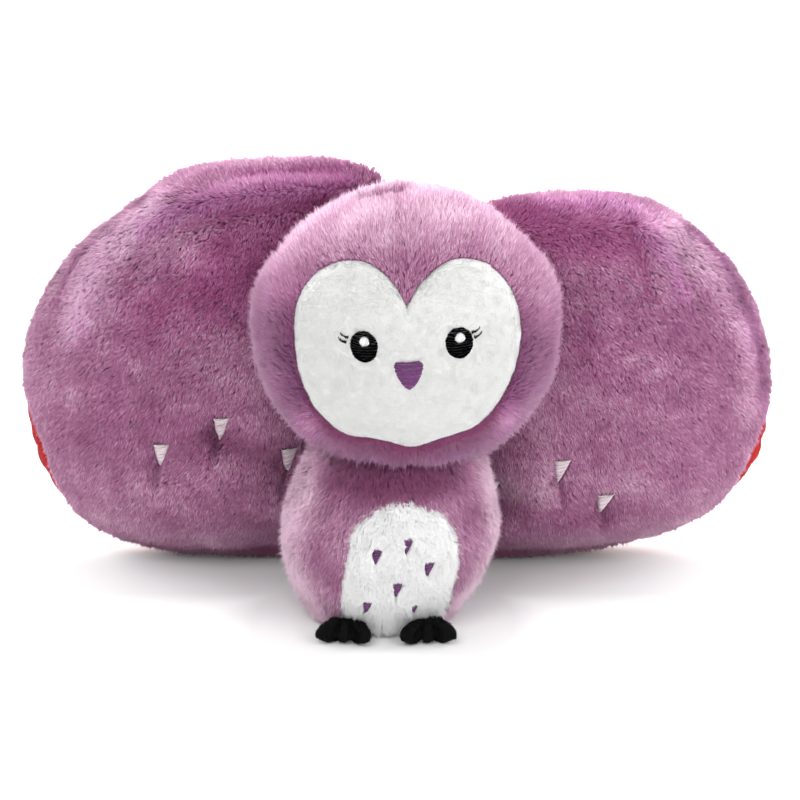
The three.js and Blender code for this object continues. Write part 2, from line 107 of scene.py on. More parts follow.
LASH_CLEAR = {"left": 2.3 * MM, "right": 0.7 * MM}
LASH_SPREAD = 2.8 * MM
LASH_RISE = 2.4 * MM
BEAK_SIZE = np.array([15.8, 16.8]) * MM
BEAK_X = 1.3 * MM
BEAK_TOP = -0.4 * MM
BEAK_OUTLINE_SHARES = [
    [0, 0.97], [0.36, 1], [0.5, 0.88], [0.42, 0.5], [0.2, 0.12], [0, 0], [-0.2, 0.12],
    [-0.42, 0.5], [-0.5, 0.88], [-0.36, 1],
]

# Feet
TOE_SIZE = np.array([11.8, 24, 13.4]) * MM
TOE_REACH = 9.5 * MM
HEEL_SIZE = np.array([22, 24, 11.5]) * MM
HEEL_SETBACK = 4 * MM
FOOT_REACH = 3 * MM
FOOT_Y = BODY_BASE[1] - BODY_GIRTH_SHARES[2] * BODY_DEPTH / 2 - FOOT_REACH
FOOT_X = {"left": -32 * MM, "right": 15.5 * MM}
TOE_FAN = [math.radians(-38), math.radians(6), math.radians(52)]
TOE_LENGTH_SHARES = [1, 0.7, 1]
FOOT_GRAIN = 0.8 * MM
FLOOR_CUT = 0.5 * MM
FLOOR_CLEAR = 0.1 * MM

# Wings
WING_SWEEP = math.radians(6)
WING_FRONT = 52 * MM
WING_BACK = 49 * MM
WING_SWELL = 118 * MM
ROOT_SHARE = 0.2
ROUNDNESS, FALL = 2.3, 0.6
SEAM_TOP_SETBACK = 20 * MM
SEAM_LOW_REACH = 22 * MM
LIFT_Y = 8 * MM
LIFT_RUN = 18 * MM
LIFT_HIGH = 60 * MM
TUFT_DEPTH = 5 * MM
TUFT_REACH = 20 * MM
WING_MARK_SIZE = np.array([10, 15]) * MM
# Each wing patch: a line of points given as shares, its width in mm, a rise of the surface in mm, a tone that
# paints highlights on ridges and shade in creases, and the shares of the shaded and the lilac copies.
WINGS = {
    "left": {
        "side": -1,
        "tone": 0.47,
        "size": np.array([237, 265]) * MM,
        "outline_shares": [
            [0.005, 0.5], [0.005, 0.2], [0.08, 0.03], [0.25, 0], [0.44, 0], [0.62, 0.01],
            [0.775, 0.054], [0.896, 0.14], [0.972, 0.25], [1, 0.4], [0.982, 0.56], [0.905, 0.715],
            [0.778, 0.838], [0.63, 0.936], [0.49, 0.985], [0.3, 1], [0.12, 0.998], [0.02, 0.962],
            [0.002, 0.79],
        ],
        "centre_share": [0.45, 0.42],
        "lift": [[0.2, 17], [0.3, 14], [0.4, 10], [0.55, 8], [0.7, 5], [0.8, 0]],
        "mark_shares": [[0.584, 0.32], [0.422, 0.39], [0.251, 0.305]],
        "patches": [
            ([[0.617, 0.85], [0.538, 0.893], [0.46, 0.917], [0.297, 0.942], [0.113, 0.945]],
             6, 3.2, 0.03, 0, 1),
            ([[0.385, 0.966], [0.307, 0.972], [0.216, 0.975], [0.127, 0.976]], 4, -2, -0.16, 0.6, 0.3),
            ([[0.521, 0.86], [0.469, 0.882], [0.404, 0.896], [0.238, 0.912], [0.1, 0.915]],
             2.8, -3, -0.04, 0.9, 0),
            ([[0.5, 0.85], [0.47, 0.8]], 13, 0, 0.22, 0, 0),
            ([[0.42, 0.8], [0.373, 0.82], [0.247, 0.84], [0.1, 0.86]], 20, 0, -0.05, 1, 0),
            ([[0.16, 0.9], [0.05, 0.9]], 10, 0, -0.2, 0.9, 0),
            ([[0.606, 0.672], [0.473, 0.7], [0.343, 0.701]], 22, 0, -0.02, 0.6, 0),
            ([[0.802, 0.633], [0.781, 0.703], [0.737, 0.768], [0.672, 0.837], [0.594, 0.904]],
             11, 1.6, 0.5, 0, 0.5),
            ([[0.72, 0.5], [0.74, 0.35], [0.5, 0.42]], 26, 0, -0.1, 0.1, 0),
            ([[0.3, 0.16], [0.08, 0.2]], 28, 0, -0.16, 0, 0),
            ([[0.861, 0.668], [0.841, 0.719], [0.805, 0.772], [0.759, 0.81]], 3, -1.4, -0.2, 0, 0.6),
            ([[0.832, 0.595], [0.788, 0.646], [0.73, 0.687]], 9, 0.6, 0.14, 0, 0.3),
        ],
    },
    "right": {
        "side": 1,
        "tone": 0.45,
        "size": np.array([234, 242.5]) * MM,
        "outline_shares": [
            [0.005, 0.5], [0.005, 0.2], [0.08, 0.03], [0.24, 0], [0.42, 0], [0.58, 0.026],
            [0.745, 0.08], [0.885, 0.165], [0.967, 0.262], [1, 0.44], [0.984, 0.58], [0.898, 0.768],
            [0.785, 0.892], [0.64, 0.974], [0.49, 1], [0.33, 0.998], [0.16, 0.958], [0.04, 0.87],
            [0.01, 0.7],
        ],
        "centre_share": [0.42, 0.36],
        "lift": [[0.2, 9], [0.35, 11], [0.45, 11], [0.6, 7], [0.75, 2], [0.85, 0]],
        "mark_shares": [[0.389, 0.312], [0.511, 0.212], [0.209, 0.236]],
        "patches": [
            ([[0.55, 0.94], [0.575, 0.9], [0.596, 0.85], [0.608, 0.77]], 2.8, -3.4, -0.1, 0.9, 0),
            ([[0.5, 0.985], [0.56, 0.965], [0.6, 0.95]], 7, 1, 0.2, 0, 0.9),
            ([[0.6, 0.945], [0.64, 0.89], [0.676, 0.82], [0.7, 0.765]], 6, 2.4, 0.18, 0, 1),
            ([[0.68, 0.92], [0.7, 0.901], [0.765, 0.818], [0.821, 0.739]], 9, 1, 0.38, 0, 0.35),
            ([[0.86, 0.68], [0.9, 0.59]], 7, 0.5, 0.18, 0, 0.35),
            ([[0.748, 0.905], [0.803, 0.852], [0.871, 0.749], [0.922, 0.641], [0.949, 0.532], [0.97, 0.33]],
             7, -1.4, -0.26, 0, 0.6),
            ([[0.339, 0.975], [0.419, 0.975], [0.5, 0.976]], 6, 1.6, 0.16, 0, 0.85),
            ([[0.229, 0.901], [0.332, 0.908], [0.437, 0.908], [0.542, 0.889]], 18, 0, 0.04, 0.9, 0),
            ([[0.7, 0.675], [0.735, 0.633], [0.759, 0.566]], 14, 0, -0.2, 0, 0.2),
            ([[0.88, 0.5], [0.9, 0.42]], 9, 0, 0.12, 0, 0),
            ([[0.25, 0.3], [0.32, 0.26]], 14, 0, 0.12, 0, 0),
            ([[0.25, 0.08], [0.1, 0.1]], 22, 0, -0.16, 0, 0),
            ([[0.2, 0.965], [0.3, 0.95]], 11, 0, -0.14, 0.6, 0),
            ([[0.26, 0.69], [0.48, 0.66]], 22, 0, -0.06, 0.35, 0),
        ],
    },
}

# Cloth, thread and pile
CLOTH_GRAIN = 5.5 * MM
CLOTH_FRAMES = 20
CLOTH_NEIGHBOURS = 6
CLOTH = {
    "quality": 6, "mass": 0.3, "tension_stiffness": 12, "compression_stiffness": 12,
    "shear_stiffness": 4, "bending_stiffness": 0.4, "use_pressure": True, "uniform_pressure_force": 4,
}
THREAD_PITCH = 0.42 * MM
THREAD_HEIGHT = 0.34 * MM
SATIN_RISE = 0.9 * MM

ORIGIN = np.array([HINGES["head_turn"].x - NECK[0], HINGES["head_turn"].y - NECK[1], 0])


# Curves and numbers

LUMP_WAVES, LUMP_EASE = 7, 4
CURVE_STEPS = 24
TINY = 1e-9


def smoothstep(value, low, high):
    share = np.clip((value - low) / (high - low), 0, 1)
    return share * share * (3 - 2 * share)


def fading(value, low, high):
    """A share that falls from 1 at low to 0 at high."""
    return 1 - smoothstep(value, low, high)


def bell(value, middle, width):
    return np.exp(-(((value - middle) / width) ** 2))


def unit(vectors):
    return vectors / np.maximum(np.linalg.norm(vectors, axis=-1, keepdims=True), 1e-12)


def carried(points, matrix):
    """The points, moved by a matrix."""
    matrix = np.array(matrix)
    return points @ matrix[:3, :3].T + matrix[:3, 3]


def lumps(points, size, seed):
    """A smooth uneven value from about -1 to 1 over space, with bumps of the given size."""
    random = np.random.default_rng(seed)
    total = np.zeros(len(points))
    for _ in range(LUMP_WAVES):
        direction = unit(random.normal(size=3))
        phase = random.uniform(0, 2 * math.pi)
        total += np.sin(points @ direction * (2 * math.pi / size) * random.uniform(0.6, 1.3) + phase)
    return total / LUMP_EASE


def all_over(value):
    """A length or a tone that is the same all over."""
    return lambda points: np.full(len(points), value)


def bumps(points, layers):
    """Uneven layers added up, each given by its height, the size of its bumps and its seed."""
    return sum(height * lumps(points, size, seed) for height, size, seed in layers)


def through(points, count, closed=False):
    """Evenly spaced points on a smooth curve that passes through the given ones."""
    points = np.asarray(points, float)
    if closed:
        knots = np.vstack([points[-1:], points, points[:2]])
    else:
        knots = np.vstack([2 * points[:1] - points[1:2], points, 2 * points[-1:] - points[-2:-1]])
    fine = []
    for p0, p1, p2, p3 in zip(knots[:-3], knots[1:-2], knots[2:-1], knots[3:]):
        t1 = max(np.linalg.norm(p1 - p0), TINY) ** 0.5
        t2 = t1 + max(np.linalg.norm(p2 - p1), TINY) ** 0.5
        t3 = t2 + max(np.linalg.norm(p3 - p2), TINY) ** 0.5
        t = np.linspace(t1, t2, CURVE_STEPS, endpoint=False)[:, None]
        a1 = p0 + (p1 - p0) * t / t1
        a2 = p1 + (p2 - p1) * (t - t1) / (t2 - t1)
        a3 = p2 + (p3 - p2) * (t - t2) / (t3 - t2)
        b1 = a1 + (a2 - a1) * t / t2
        b2 = a2 + (a3 - a2) * (t - t1) / (t3 - t1)
        fine.append(b1 + (b2 - b1) * (t - t1) / (t2 - t1))
    fine.append(knots[-2][None, :])
    fine = np.vstack(fine)
    along = np.concatenate([[0], np.cumsum(np.linalg.norm(np.diff(fine, axis=0), axis=1))])
    stops = np.linspace(0, along[-1], count, endpoint=not closed)
    return np.column_stack([np.interp(stops, along, fine[:, axis]) for axis in range(points.shape[1])])


def inside(points, outline):
    """Which of the flat points lie inside a closed outline."""
    found = np.zeros(len(points), bool)
    for (x0, z0), (x1, z1) in zip(outline, np.roll(outline, -1, axis=0)):
        if z0 == z1:
            continue
        spans = (points[:, 1] < z0) != (points[:, 1] < z1)
        crossing = x0 + (points[:, 1] - z0) * (x1 - x0) / (z1 - z0)
        found ^= spans & (points[:, 0] < crossing)
    return found


def line_distance(points, line):
    """How far each point is from the nearest point of an open line."""
    nearest = np.full(len(points), np.inf)
    for start, end in zip(line[:-1], line[1:]):
        along = end - start
        share = np.clip((points - start) @ along / max(along @ along, 1e-18), 0, 1)
        nearest = np.minimum(nearest, np.linalg.norm(points - start - share[:, None] * along, axis=1))
    return nearest


def edge_distance(points, outline):
    """How far each flat point is from the nearest point of a closed outline."""
    return line_distance(points, np.vstack([outline, outline[:1]]))


# Meshes

def mesh_piece(name, points, quads=(), triangles=()):
    """A mesh object from arrays of points and faces."""
    quads = np.asarray(quads, np.int32).reshape(-1, 4)
    triangles = np.asarray(triangles, np.int32).reshape(-1, 3)
    mesh = bpy.data.meshes.new(name)
    mesh.vertices.add(len(points))
    mesh.vertices.foreach_set("co", np.asarray(points, np.float32).ravel())
    corners = np.concatenate([quads.ravel(), triangles.ravel()])
    starts = np.concatenate([
        np.arange(len(quads)) * 4,
        4 * len(quads) + np.arange(len(triangles)) * 3,
    ])
    mesh.loops.add(len(corners))
    mesh.loops.foreach_set("vertex_index", corners)
    mesh.polygons.add(len(starts))
    mesh.polygons.foreach_set("loop_start", starts.astype(np.int32))
    mesh.update(calc_edges=True)
    mesh.shade_smooth()
    piece = bpy.data.objects.new(name, mesh)
    bpy.context.scene.collection.objects.link(piece)
    return piece


def points_of(piece, what="co"):
    values = np.zeros(len(piece.data.vertices) * 3, np.float32)
    piece.data.vertices.foreach_get(what, values)
    return values.reshape(-1, 3).astype(float)


def move_points(piece, points):
    piece.data.vertices.foreach_set("co", points.astype(np.float32).ravel())
    piece.data.update()


def sculpt(piece, outward):
    """Moves each point of a piece along its normal by outward(points)."""
    points = points_of(piece)
    normals = points_of(piece, "normal")
    move_points(piece, points + normals * outward(points)[:, None])


def band_faces(rows, steps, first=0):
    """Quads between neighbouring closed rows of points."""
    row, step = np.meshgrid(np.arange(rows - 1), np.arange(steps), indexing="ij")
    here = first + row * steps + step
    beside = first + row * steps + (step + 1) % steps
    return np.stack([here, beside, beside + steps, here + steps], axis=-1).reshape(-1, 4)


def fan_faces(pole, first, steps, turned):
    step = np.arange(steps)
    here, beside = first + step, first + (step + 1) % steps
    faces = np.column_stack([np.full(steps, pole), beside, here])
    return faces[:, ::-1] if turned else faces


def closed_skin(name, first_pole, rings, last_pole):
    """A closed surface through rings that run anticlockwise as seen from the last pole."""
    rows, steps = rings.shape[:2]
    points = np.vstack([rings.reshape(-1, 3), first_pole, last_pole])
    quads = band_faces(rows, steps)
    triangles = np.vstack([
        fan_faces(rows * steps, 0, steps, False),
        fan_faces(rows * steps + 1, (rows - 1) * steps, steps, True),
    ])
    return mesh_piece(name, points, quads, triangles)


def rest_on_floor(piece):
    points = points_of(piece)
    points[:, 2] = np.maximum(points[:, 2], FLOOR_CLEAR)
    move_points(piece, points)


def remesh(piece, grain, rounds=0):
    """Gives a piece one even closed mesh, softened by some rounds of smoothing."""
    even = piece.modifiers.new("even", "REMESH")
    even.mode = "VOXEL"
    even.voxel_size = grain
    if rounds:
        piece.modifiers.new("soften", "SMOOTH").iterations = rounds
    bpy.context.view_layer.update()
    graph = bpy.context.evaluated_depsgraph_get()
    mesh = bpy.data.meshes.new_from_object(piece.evaluated_get(graph))
    piece.modifiers.clear()
    piece.data = mesh
    mesh.shade_smooth()


def point_tree(points):
    tree = KDTree(len(points))
    for index, point in enumerate(points):
        tree.insert(point, index)
    tree.balance()
    return tree


def settle(piece, held, most):
    """Lets a stuffed skin billow as cloth where it isn't held, by no more than the given distance."""
    cloth_piece = bpy.data.objects.new("settling", piece.data.copy())
    bpy.context.scene.collection.objects.link(cloth_piece)
    remesh(cloth_piece, CLOTH_GRAIN)
    start = points_of(cloth_piece)
    group = cloth_piece.vertex_groups.new(name="held")
    for index, weight in enumerate(np.clip(held(start), 0, 1)):
        group.add([index], float(weight), "REPLACE")
    cloth = cloth_piece.modifiers.new("cloth", "CLOTH").settings
    for name, value in CLOTH.items():
        setattr(cloth, name, value)
    cloth.effector_weights.gravity = 0
    cloth.vertex_group_mass = "held"
    for frame_number in range(1, CLOTH_FRAMES + 1):
        bpy.context.scene.frame_set(frame_number)
    graph = bpy.context.evaluated_depsgraph_get()
    settled = cloth_piece.evaluated_get(graph).to_mesh()
    end = np.zeros(len(start) * 3, np.float32)
    settled.vertices.foreach_get("co", end)
    moved = end.reshape(-1, 3) - start
    normals = points_of(cloth_piece, "normal")
    moved -= np.median((moved * normals).sum(1)) * normals
    distance = np.linalg.norm(moved, axis=1, keepdims=True)
    moved *= np.minimum(1, most / np.maximum(distance, TINY))
    tree = point_tree(start)
    points = points_of(piece)
    shift = np.zeros_like(points)
    for index, point in enumerate(points):
        near = tree.find_n(point, CLOTH_NEIGHBOURS)
        weights = np.array([1 / (gap + MM) ** 2 for _, _, gap in near])
        shift[index] = weights @ moved[[found for _, found, _ in near]] / weights.sum()
    move_points(piece, points + shift)
    bpy.data.objects.remove(cloth_piece)
    bpy.context.scene.frame_set(1)


def surface_tree(piece):
    return BVHTree.FromPolygons(
        [tuple(point) for point in points_of(piece)],
        [tuple(face.vertices) for face in piece.data.polygons],
    )


def on_surface(tree, place, flat):
    """Points and normals where flat points, looked at from the front of a place, meet a surface."""
    ahead = place.to_3x3() @ Vector((0, 1, 0))
    points, normals = [], []
    for x, z in flat:
        start = place @ Vector((x, -1, z))
        hit, normal, _, _ = tree.ray_cast(start, ahead)
        if hit is None:
            hit, normal, _, _ = tree.find_nearest(place @ Vector((x, 0, z)))
        points.append(hit)
        normals.append(normal if normal.dot(ahead) < 0 else -normal)
    return np.array(points), np.array(normals)


def let_in_panel(name, outline, centre, tree, place, rings, puff, tuck):
    """A panel laid on a surface inside an outline, puffed by puff(ring share) and tucked in at its edge."""
    steps = len(outline)
    shares = np.sin(np.linspace(0, 1, rings + 1)[1:] * math.pi / 2)
    flat = [centre] + [centre + share * (edge - centre) for share in shares for edge in outline]
    points, normals = on_surface(tree, place, flat)
    height = np.concatenate([[puff(0)], np.repeat([puff(share) for share in shares], steps)])
    height[-steps:] = -tuck
    points = points + normals * height[:, None]
    quads = band_faces(rings, steps, 1)[:, ::-1]
    return mesh_piece(name, points, quads, fan_faces(0, 1, steps, True))


# Materials

WHITE = (1.0, 1.0, 1.0)
PINK = (1.0, 0.86, 0.95)
RED = (1.0, 0.4, 0.4)
GREY = (0.1, 0.1, 0.1)


class Value:
    """A socket of a node, so that shader maths reads as plain arithmetic."""

    def __init__(self, tree, socket):
        self.tree = tree
        self.socket = socket

    def maths(self, operation, *others):
        return self.tree.node("ShaderNodeMath", {"operation": operation}, dict(enumerate([self, *others])))

    def __add__(self, other):
        return self.maths("ADD", other)

    __radd__ = __add__

    def __sub__(self, other):
        return self.maths("SUBTRACT", other)

    def __rsub__(self, other):
        return self.tree.node("ShaderNodeMath", {"operation": "SUBTRACT"}, {0: other, 1: self})

    def __mul__(self, other):
        return self.maths("MULTIPLY", other)

    __rmul__ = __mul__

    def __pow__(self, other):
        return self.maths("POWER", other)

    def clamped(self):
        return self.tree.node("ShaderNodeClamp", {}, {"Value": self})

    def out(self, name):
        return Value(self.tree, self.socket.node.outputs[name])


class Nodes:
    """The nodes of a material or of the studio's light."""

    def __init__(self, owner):
        owner.use_nodes = True
        self.nodes = owner.node_tree.nodes
        self.links = owner.node_tree.links

    def node(self, kind, settings, values, out=0):
        node = self.nodes.new(kind)
        for name, setting in settings.items():
            if name == "stops":
                ramp = node.color_ramp.elements
                while len(ramp) < len(setting):
                    ramp.new(0.5)
                for element, (place, colour) in zip(ramp, setting):
                    element.position = place
                    element.color = (*colour, 1)
            else:
                setattr(node, name, setting)
        for name, value in values.items():
            if isinstance(value, Value):
                self.links.new(value.socket, node.inputs[name])
            elif isinstance(value, tuple):
                given = node.inputs[name].default_value
                node.inputs[name].default_value = (*value, 1) if len(given) == 4 else value
            else:
                node.inputs[name].default_value = value
        return Value(self, node.outputs[out])


class Finish(Nodes):
    """A material with one principled surface, and the nodes that vary it."""

    def __init__(self, name, roughness=0.8, sheen=0.0, sheen_tint=WHITE, sheen_roughness=0.5, shine=0.25):
        self.material = bpy.data.materials.new(name)
        super().__init__(self.material)
        self.surface = self.nodes["Principled BSDF"]
        for socket, value in (
            ("Roughness", roughness), ("Sheen Weight", sheen), ("Sheen Tint", (*sheen_tint, 1)),
            ("Sheen Roughness", sheen_roughness), ("Specular IOR Level", shine),
        ):
            self.surface.inputs[socket].default_value = value

    def place(self):
        return self.node("ShaderNodeTexCoord", {}, {}, "Object")

    def map_parts(self):
        """How far across and how far up a place lies on the piece's own map."""
        spot = self.node("ShaderNodeUVMap", {"uv_map": "OFBake"}, {})
        parts = self.node("ShaderNodeSeparateXYZ", {}, {0: spot})
        return parts.out("X"), parts.out("Y")

    def noise(self, size, detail=2.0, roughness=0.5):
        return self.node("ShaderNodeTexNoise", {}, {
            "Vector": self.place(), "Scale": 1 / size, "Detail": detail, "Roughness": roughness,
        })

    def mix(self, share, first, second):
        return self.node("ShaderNodeMix", {"data_type": "RGBA"}, {0: share, 6: first, 7: second}, 2)

    def ramp(self, share, stops):
        return self.node("ShaderNodeValToRGB", {"stops": stops}, {0: share})

    def set(self, name, value):
        self.links.new(value.socket, self.surface.inputs[name])

    def colour(self, share, dark, light):
        self.set("Base Color", self.mix(share, light_of(dark), light_of(light)))

    def bump(self, height, depth):
        self.set("Normal", self.node("ShaderNodeBump", {}, {
            "Strength": 1.0, "Distance": depth, "Height": height,
        }))


def light_of(colour):
    """A colour as it looks on a screen, from 0 to 255, as the light that the shader works with."""
    shares = np.array(colour) / 255
    light = np.where(shares <= 0.04045, shares / 12.92, ((shares + 0.055) / 1.055) ** 2.4)
    return tuple(float(share) for share in light)


def backing_finish(name, dark, light, sheen_tint):
    """Knitted backing and root pile under the longer hairs, darker than the hairs: painted shade at the
    hairs' root.
    """
    finish = Finish(name, roughness=0.95, sheen=0.25, sheen_tint=sheen_tint)
    fine = finish.noise(0.9 * MM, 3.0, 0.7)
    broad = finish.noise(14 * MM, 2.0)
    finish.colour((fine * 0.7 + broad * 0.3).clamped(), dark, light)
    finish.bump(fine, 0.8 * MM)
    return finish.material


def pile_finish(name, dyes_and_painted_light, sheen, sheen_tint, roughness=0.75):
    """Hairs, darker at the root as painted shade among the hairs. Their map has one strip for each colour
    set, side by side.

    In a strip the way along the hair goes across and the hair's tone goes up.
    """
    finish = Finish(name, roughness=roughness, sheen=sheen, sheen_tint=sheen_tint, sheen_roughness=0.55)
    along_strips, tone = finish.map_parts()
    across = along_strips * len(dyes_and_painted_light)
    shade = None
    for strip, dye_and_painted_light in enumerate(dyes_and_painted_light):
        root_shade, dark, middle, light = map(light_of, dye_and_painted_light)
        along = (across - strip).clamped()
        tip = finish.ramp(tone, [(0.0, dark), (0.5, middle), (1.0, light)])
        # The root end is darker: painted shade among the hairs.
        dyed = finish.mix((along * 1.7).clamped() ** 0.8, finish.mix(tone, root_shade, dark), tip)
        shade = finish.mix(across.maths("GREATER_THAN", strip), shade, dyed) if strip else dyed
    finish.set("Base Color", shade)
    return finish.material


def velour_finish(name, base, shade, sheen, sheen_tint):
    """Very short dense pile that lies in soft patches."""
    finish = Finish(name, roughness=0.9, sheen=sheen, sheen_tint=sheen_tint, sheen_roughness=0.6)
    fine = finish.noise(0.7 * MM, 4.0, 0.75)
    patches = finish.noise(9 * MM, 3.0, 0.6)
    finish.colour((fine * 0.45 + patches * 0.55).clamped(), shade, base)
    finish.set("Roughness", 0.82 + 0.14 * fine)
    finish.bump(fine + patches * 0.6, 0.5 * MM)
    return finish.material


def thread_finish(name, dark, light, gloss=0.42, shine=0.45):
    """Satin thread. Its map has the way along a stitch across it and the stitch's tone up it."""
    finish = Finish(name, roughness=gloss, shine=shine)
    along, tone = finish.map_parts()
    # Darker at each stitch's ends, where it dives into the cloth: painted shade.
    ends = (along * (1 - along) * 14).clamped()
    finish.colour((tone * (0.35 + 0.65 * ends)).clamped(), dark, light)
    finish.set("Roughness", gloss + 0.2 * tone)
    return finish.material


# Each backing is darker than its hairs: painted shade at the hairs' root.
MAUVE_BACKING = backing_finish("mauve_backing", (112, 52, 88), (148, 82, 124), PINK)
# The plain mauve, then a deeper, redder copy that paints shade, and a lilac copy that paints the lit ridges
# and the head's lower sides; the fibre itself is one colour.
MAUVE_DYE_SHADED_AND_LIT = [
    [(90, 42, 68), (124, 64, 100), (176, 114, 153), (238, 204, 223)],
    [(90, 28, 64), (122, 44, 92), (166, 80, 134), (212, 144, 189)],
    [(90, 42, 82), (126, 64, 115), (180, 108, 163), (230, 180, 217)],
]
MAUVE_PILE = pile_finish("mauve_pile", MAUVE_DYE_SHADED_AND_LIT, 0.38, PINK)
WHITE_BACKING = backing_finish("white_backing", (226, 226, 227), (246, 246, 246), WHITE)
WHITE_PILE = pile_finish(
    "white_pile", [[(222, 222, 224), (234, 234, 235), (247, 247, 247), (254, 254, 254)]], 0.3, WHITE,
)
FACE_PILE = pile_finish(
    "face_pile", [[(204, 204, 204), (217, 217, 216), (236, 236, 235), (250, 250, 249)]], 0.2, WHITE,
)
BLACK_BACKING = backing_finish("black_backing", (3, 3, 4), (9, 9, 10), GREY)
BLACK_PILE = pile_finish("black_pile", [[(2, 2, 3), (4, 4, 5), (7, 7, 8), (18, 18, 20)]], 0, WHITE, 0.95)
WHITE_VELOUR = velour_finish("white_velour", (230, 230, 229), (216, 216, 215), 0.25, WHITE)
RED_VELOUR = velour_finish("red_velour", (188, 14, 18), (138, 7, 12), 0.08, RED)
RED_PILE = pile_finish("red_pile", [[(92, 5, 9), (136, 8, 13), (186, 14, 20), (208, 38, 40)]], 0.08, RED)
BLACK_THREAD = thread_finish("black_thread", (3, 3, 4), (6, 7, 7), 0.8, 0.02)
WHITE_THREAD = thread_finish("white_thread", (206, 206, 208), (250, 250, 250))
PURPLE_THREAD = thread_finish("purple_thread", (84, 38, 88), (120, 60, 120))
PALE_THREAD = thread_finish("pale_thread", (204, 188, 194), (242, 228, 233))


def dress(piece, body, slot, material):
    """Gives a piece its finish and the body that it moves with."""
    piece.data.materials.clear()
    piece.data.materials.append(material)
    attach(piece, body)
    return piece


# Pile

PLUSH = {
    "per_mm2": 4.4, "width": 0.5 * MM, "lean": 0.9, "spread": 0.24, "clump": 0.5, "nap": 0.3,
    "nap_size": 26 * MM, "slot": "mauve_plush", "material": MAUVE_PILE, "dyes_and_painted_light": len(MAUVE_DYE_SHADED_AND_LIT),
}
BELLY_PLUSH = {
    "per_mm2": 9, "width": 0.4 * MM, "lean": 0.9, "spread": 0.34, "clump": 0.55, "nap": 0.5,
    "nap_size": 12 * MM, "slot": "white_plush", "material": WHITE_PILE,
}
FACE_PLUSH = {
    "per_mm2": 6, "width": 0.3 * MM, "lean": 0.75, "spread": 0.5, "clump": 0.1, "nap": 0.6,
    "nap_size": 8 * MM, "slot": "white_velour", "material": FACE_PILE,
}
FOOT_PLUSH = {
    "per_mm2": 8, "width": 0.36 * MM, "lean": 0.8, "spread": 0.4, "clump": 0.3, "nap": 0.4,
    "nap_size": 6 * MM, "slot": "black_plush", "material": BLACK_PILE,
}
BACK_VELOUR = {
    "per_mm2": 1.6, "width": 0.4 * MM, "lean": 0.8, "spread": 0.4, "clump": 0.1, "nap": 0.4,
    "nap_size": 14 * MM, "slot": "red_velour", "material": RED_PILE,
}
MOST_HAIRS = 97000
STRAY_SHARE = 0.15
CLUMP_HAIRS = 11
HAIR_SINK = 0.3 * MM
BEND_SHARE = 0.45
LOWER_LEAN, UPPER_LEAN = 0.75, 1.2
LOWER_PULL = 0.4
TURN_LUMP, TURN_LUMP_SIZE = 0.18, 7 * MM
TILT_SPREAD, TILT_LUMP, TILT_LUMP_SIZE = 0.16, 0.12, 15 * MM
SHORTEST, LONGEST = 0.72, 1.12
SLIMMEST, WIDEST = 0.7, 1.3
STRAY_LEAN, STRAY_REACH, STRAY_SLIMNESS, STRAY_SHADE = 0.5, 0.3, 0.45, 0.12
HAIR_CLEAR = 0.2 * MM
NAP_PAINTED_SHEEN, SHADE_LUMP, SHADE_LUMP_SIZE = 0.09, 0.06, 4 * MM
SHADE_SPREAD, DARKEST, PALEST = 0.13, 0.02, 0.98


def scattered(skin, per_mm2, random):
    """Random places of a skin, evenly spread over its area, as three corners and their weights."""
    skin.data.calc_loop_triangles()
    corners = np.zeros(len(skin.data.loop_triangles) * 3, np.int32)
    skin.data.loop_triangles.foreach_get("vertices", corners)
    corners = corners.reshape(-1, 3)
    a, b, c = (points_of(skin)[corners[:, k]] for k in range(3))
    area = np.linalg.norm(np.cross(b - a, c - a), axis=1) / 2
    count = int(area.sum() / MM ** 2 * per_mm2)
    chosen = np.searchsorted(np.cumsum(area) / area.sum(), random.random(count), side="right")
    chosen = np.minimum(chosen, len(area) - 1)
    u, v = np.sqrt(random.random(count)), random.random(count)
    return corners[chosen], np.column_stack([1 - u, u * (1 - v), u * v])


def gathered(root, ends, share, random):
    """Draws the ends of neighbouring hairs towards one of them, as plush clumps."""
    leaders = random.choice(len(root), max(len(root) // CLUMP_HAIRS, 1), replace=False)
    tree = point_tree(root[leaders])
    nearest = leaders[[tree.find(point)[1] for point in root]]
    return [end + pull * (end[nearest] - end) for end, pull in zip(ends, (LOWER_PULL * share, share))]


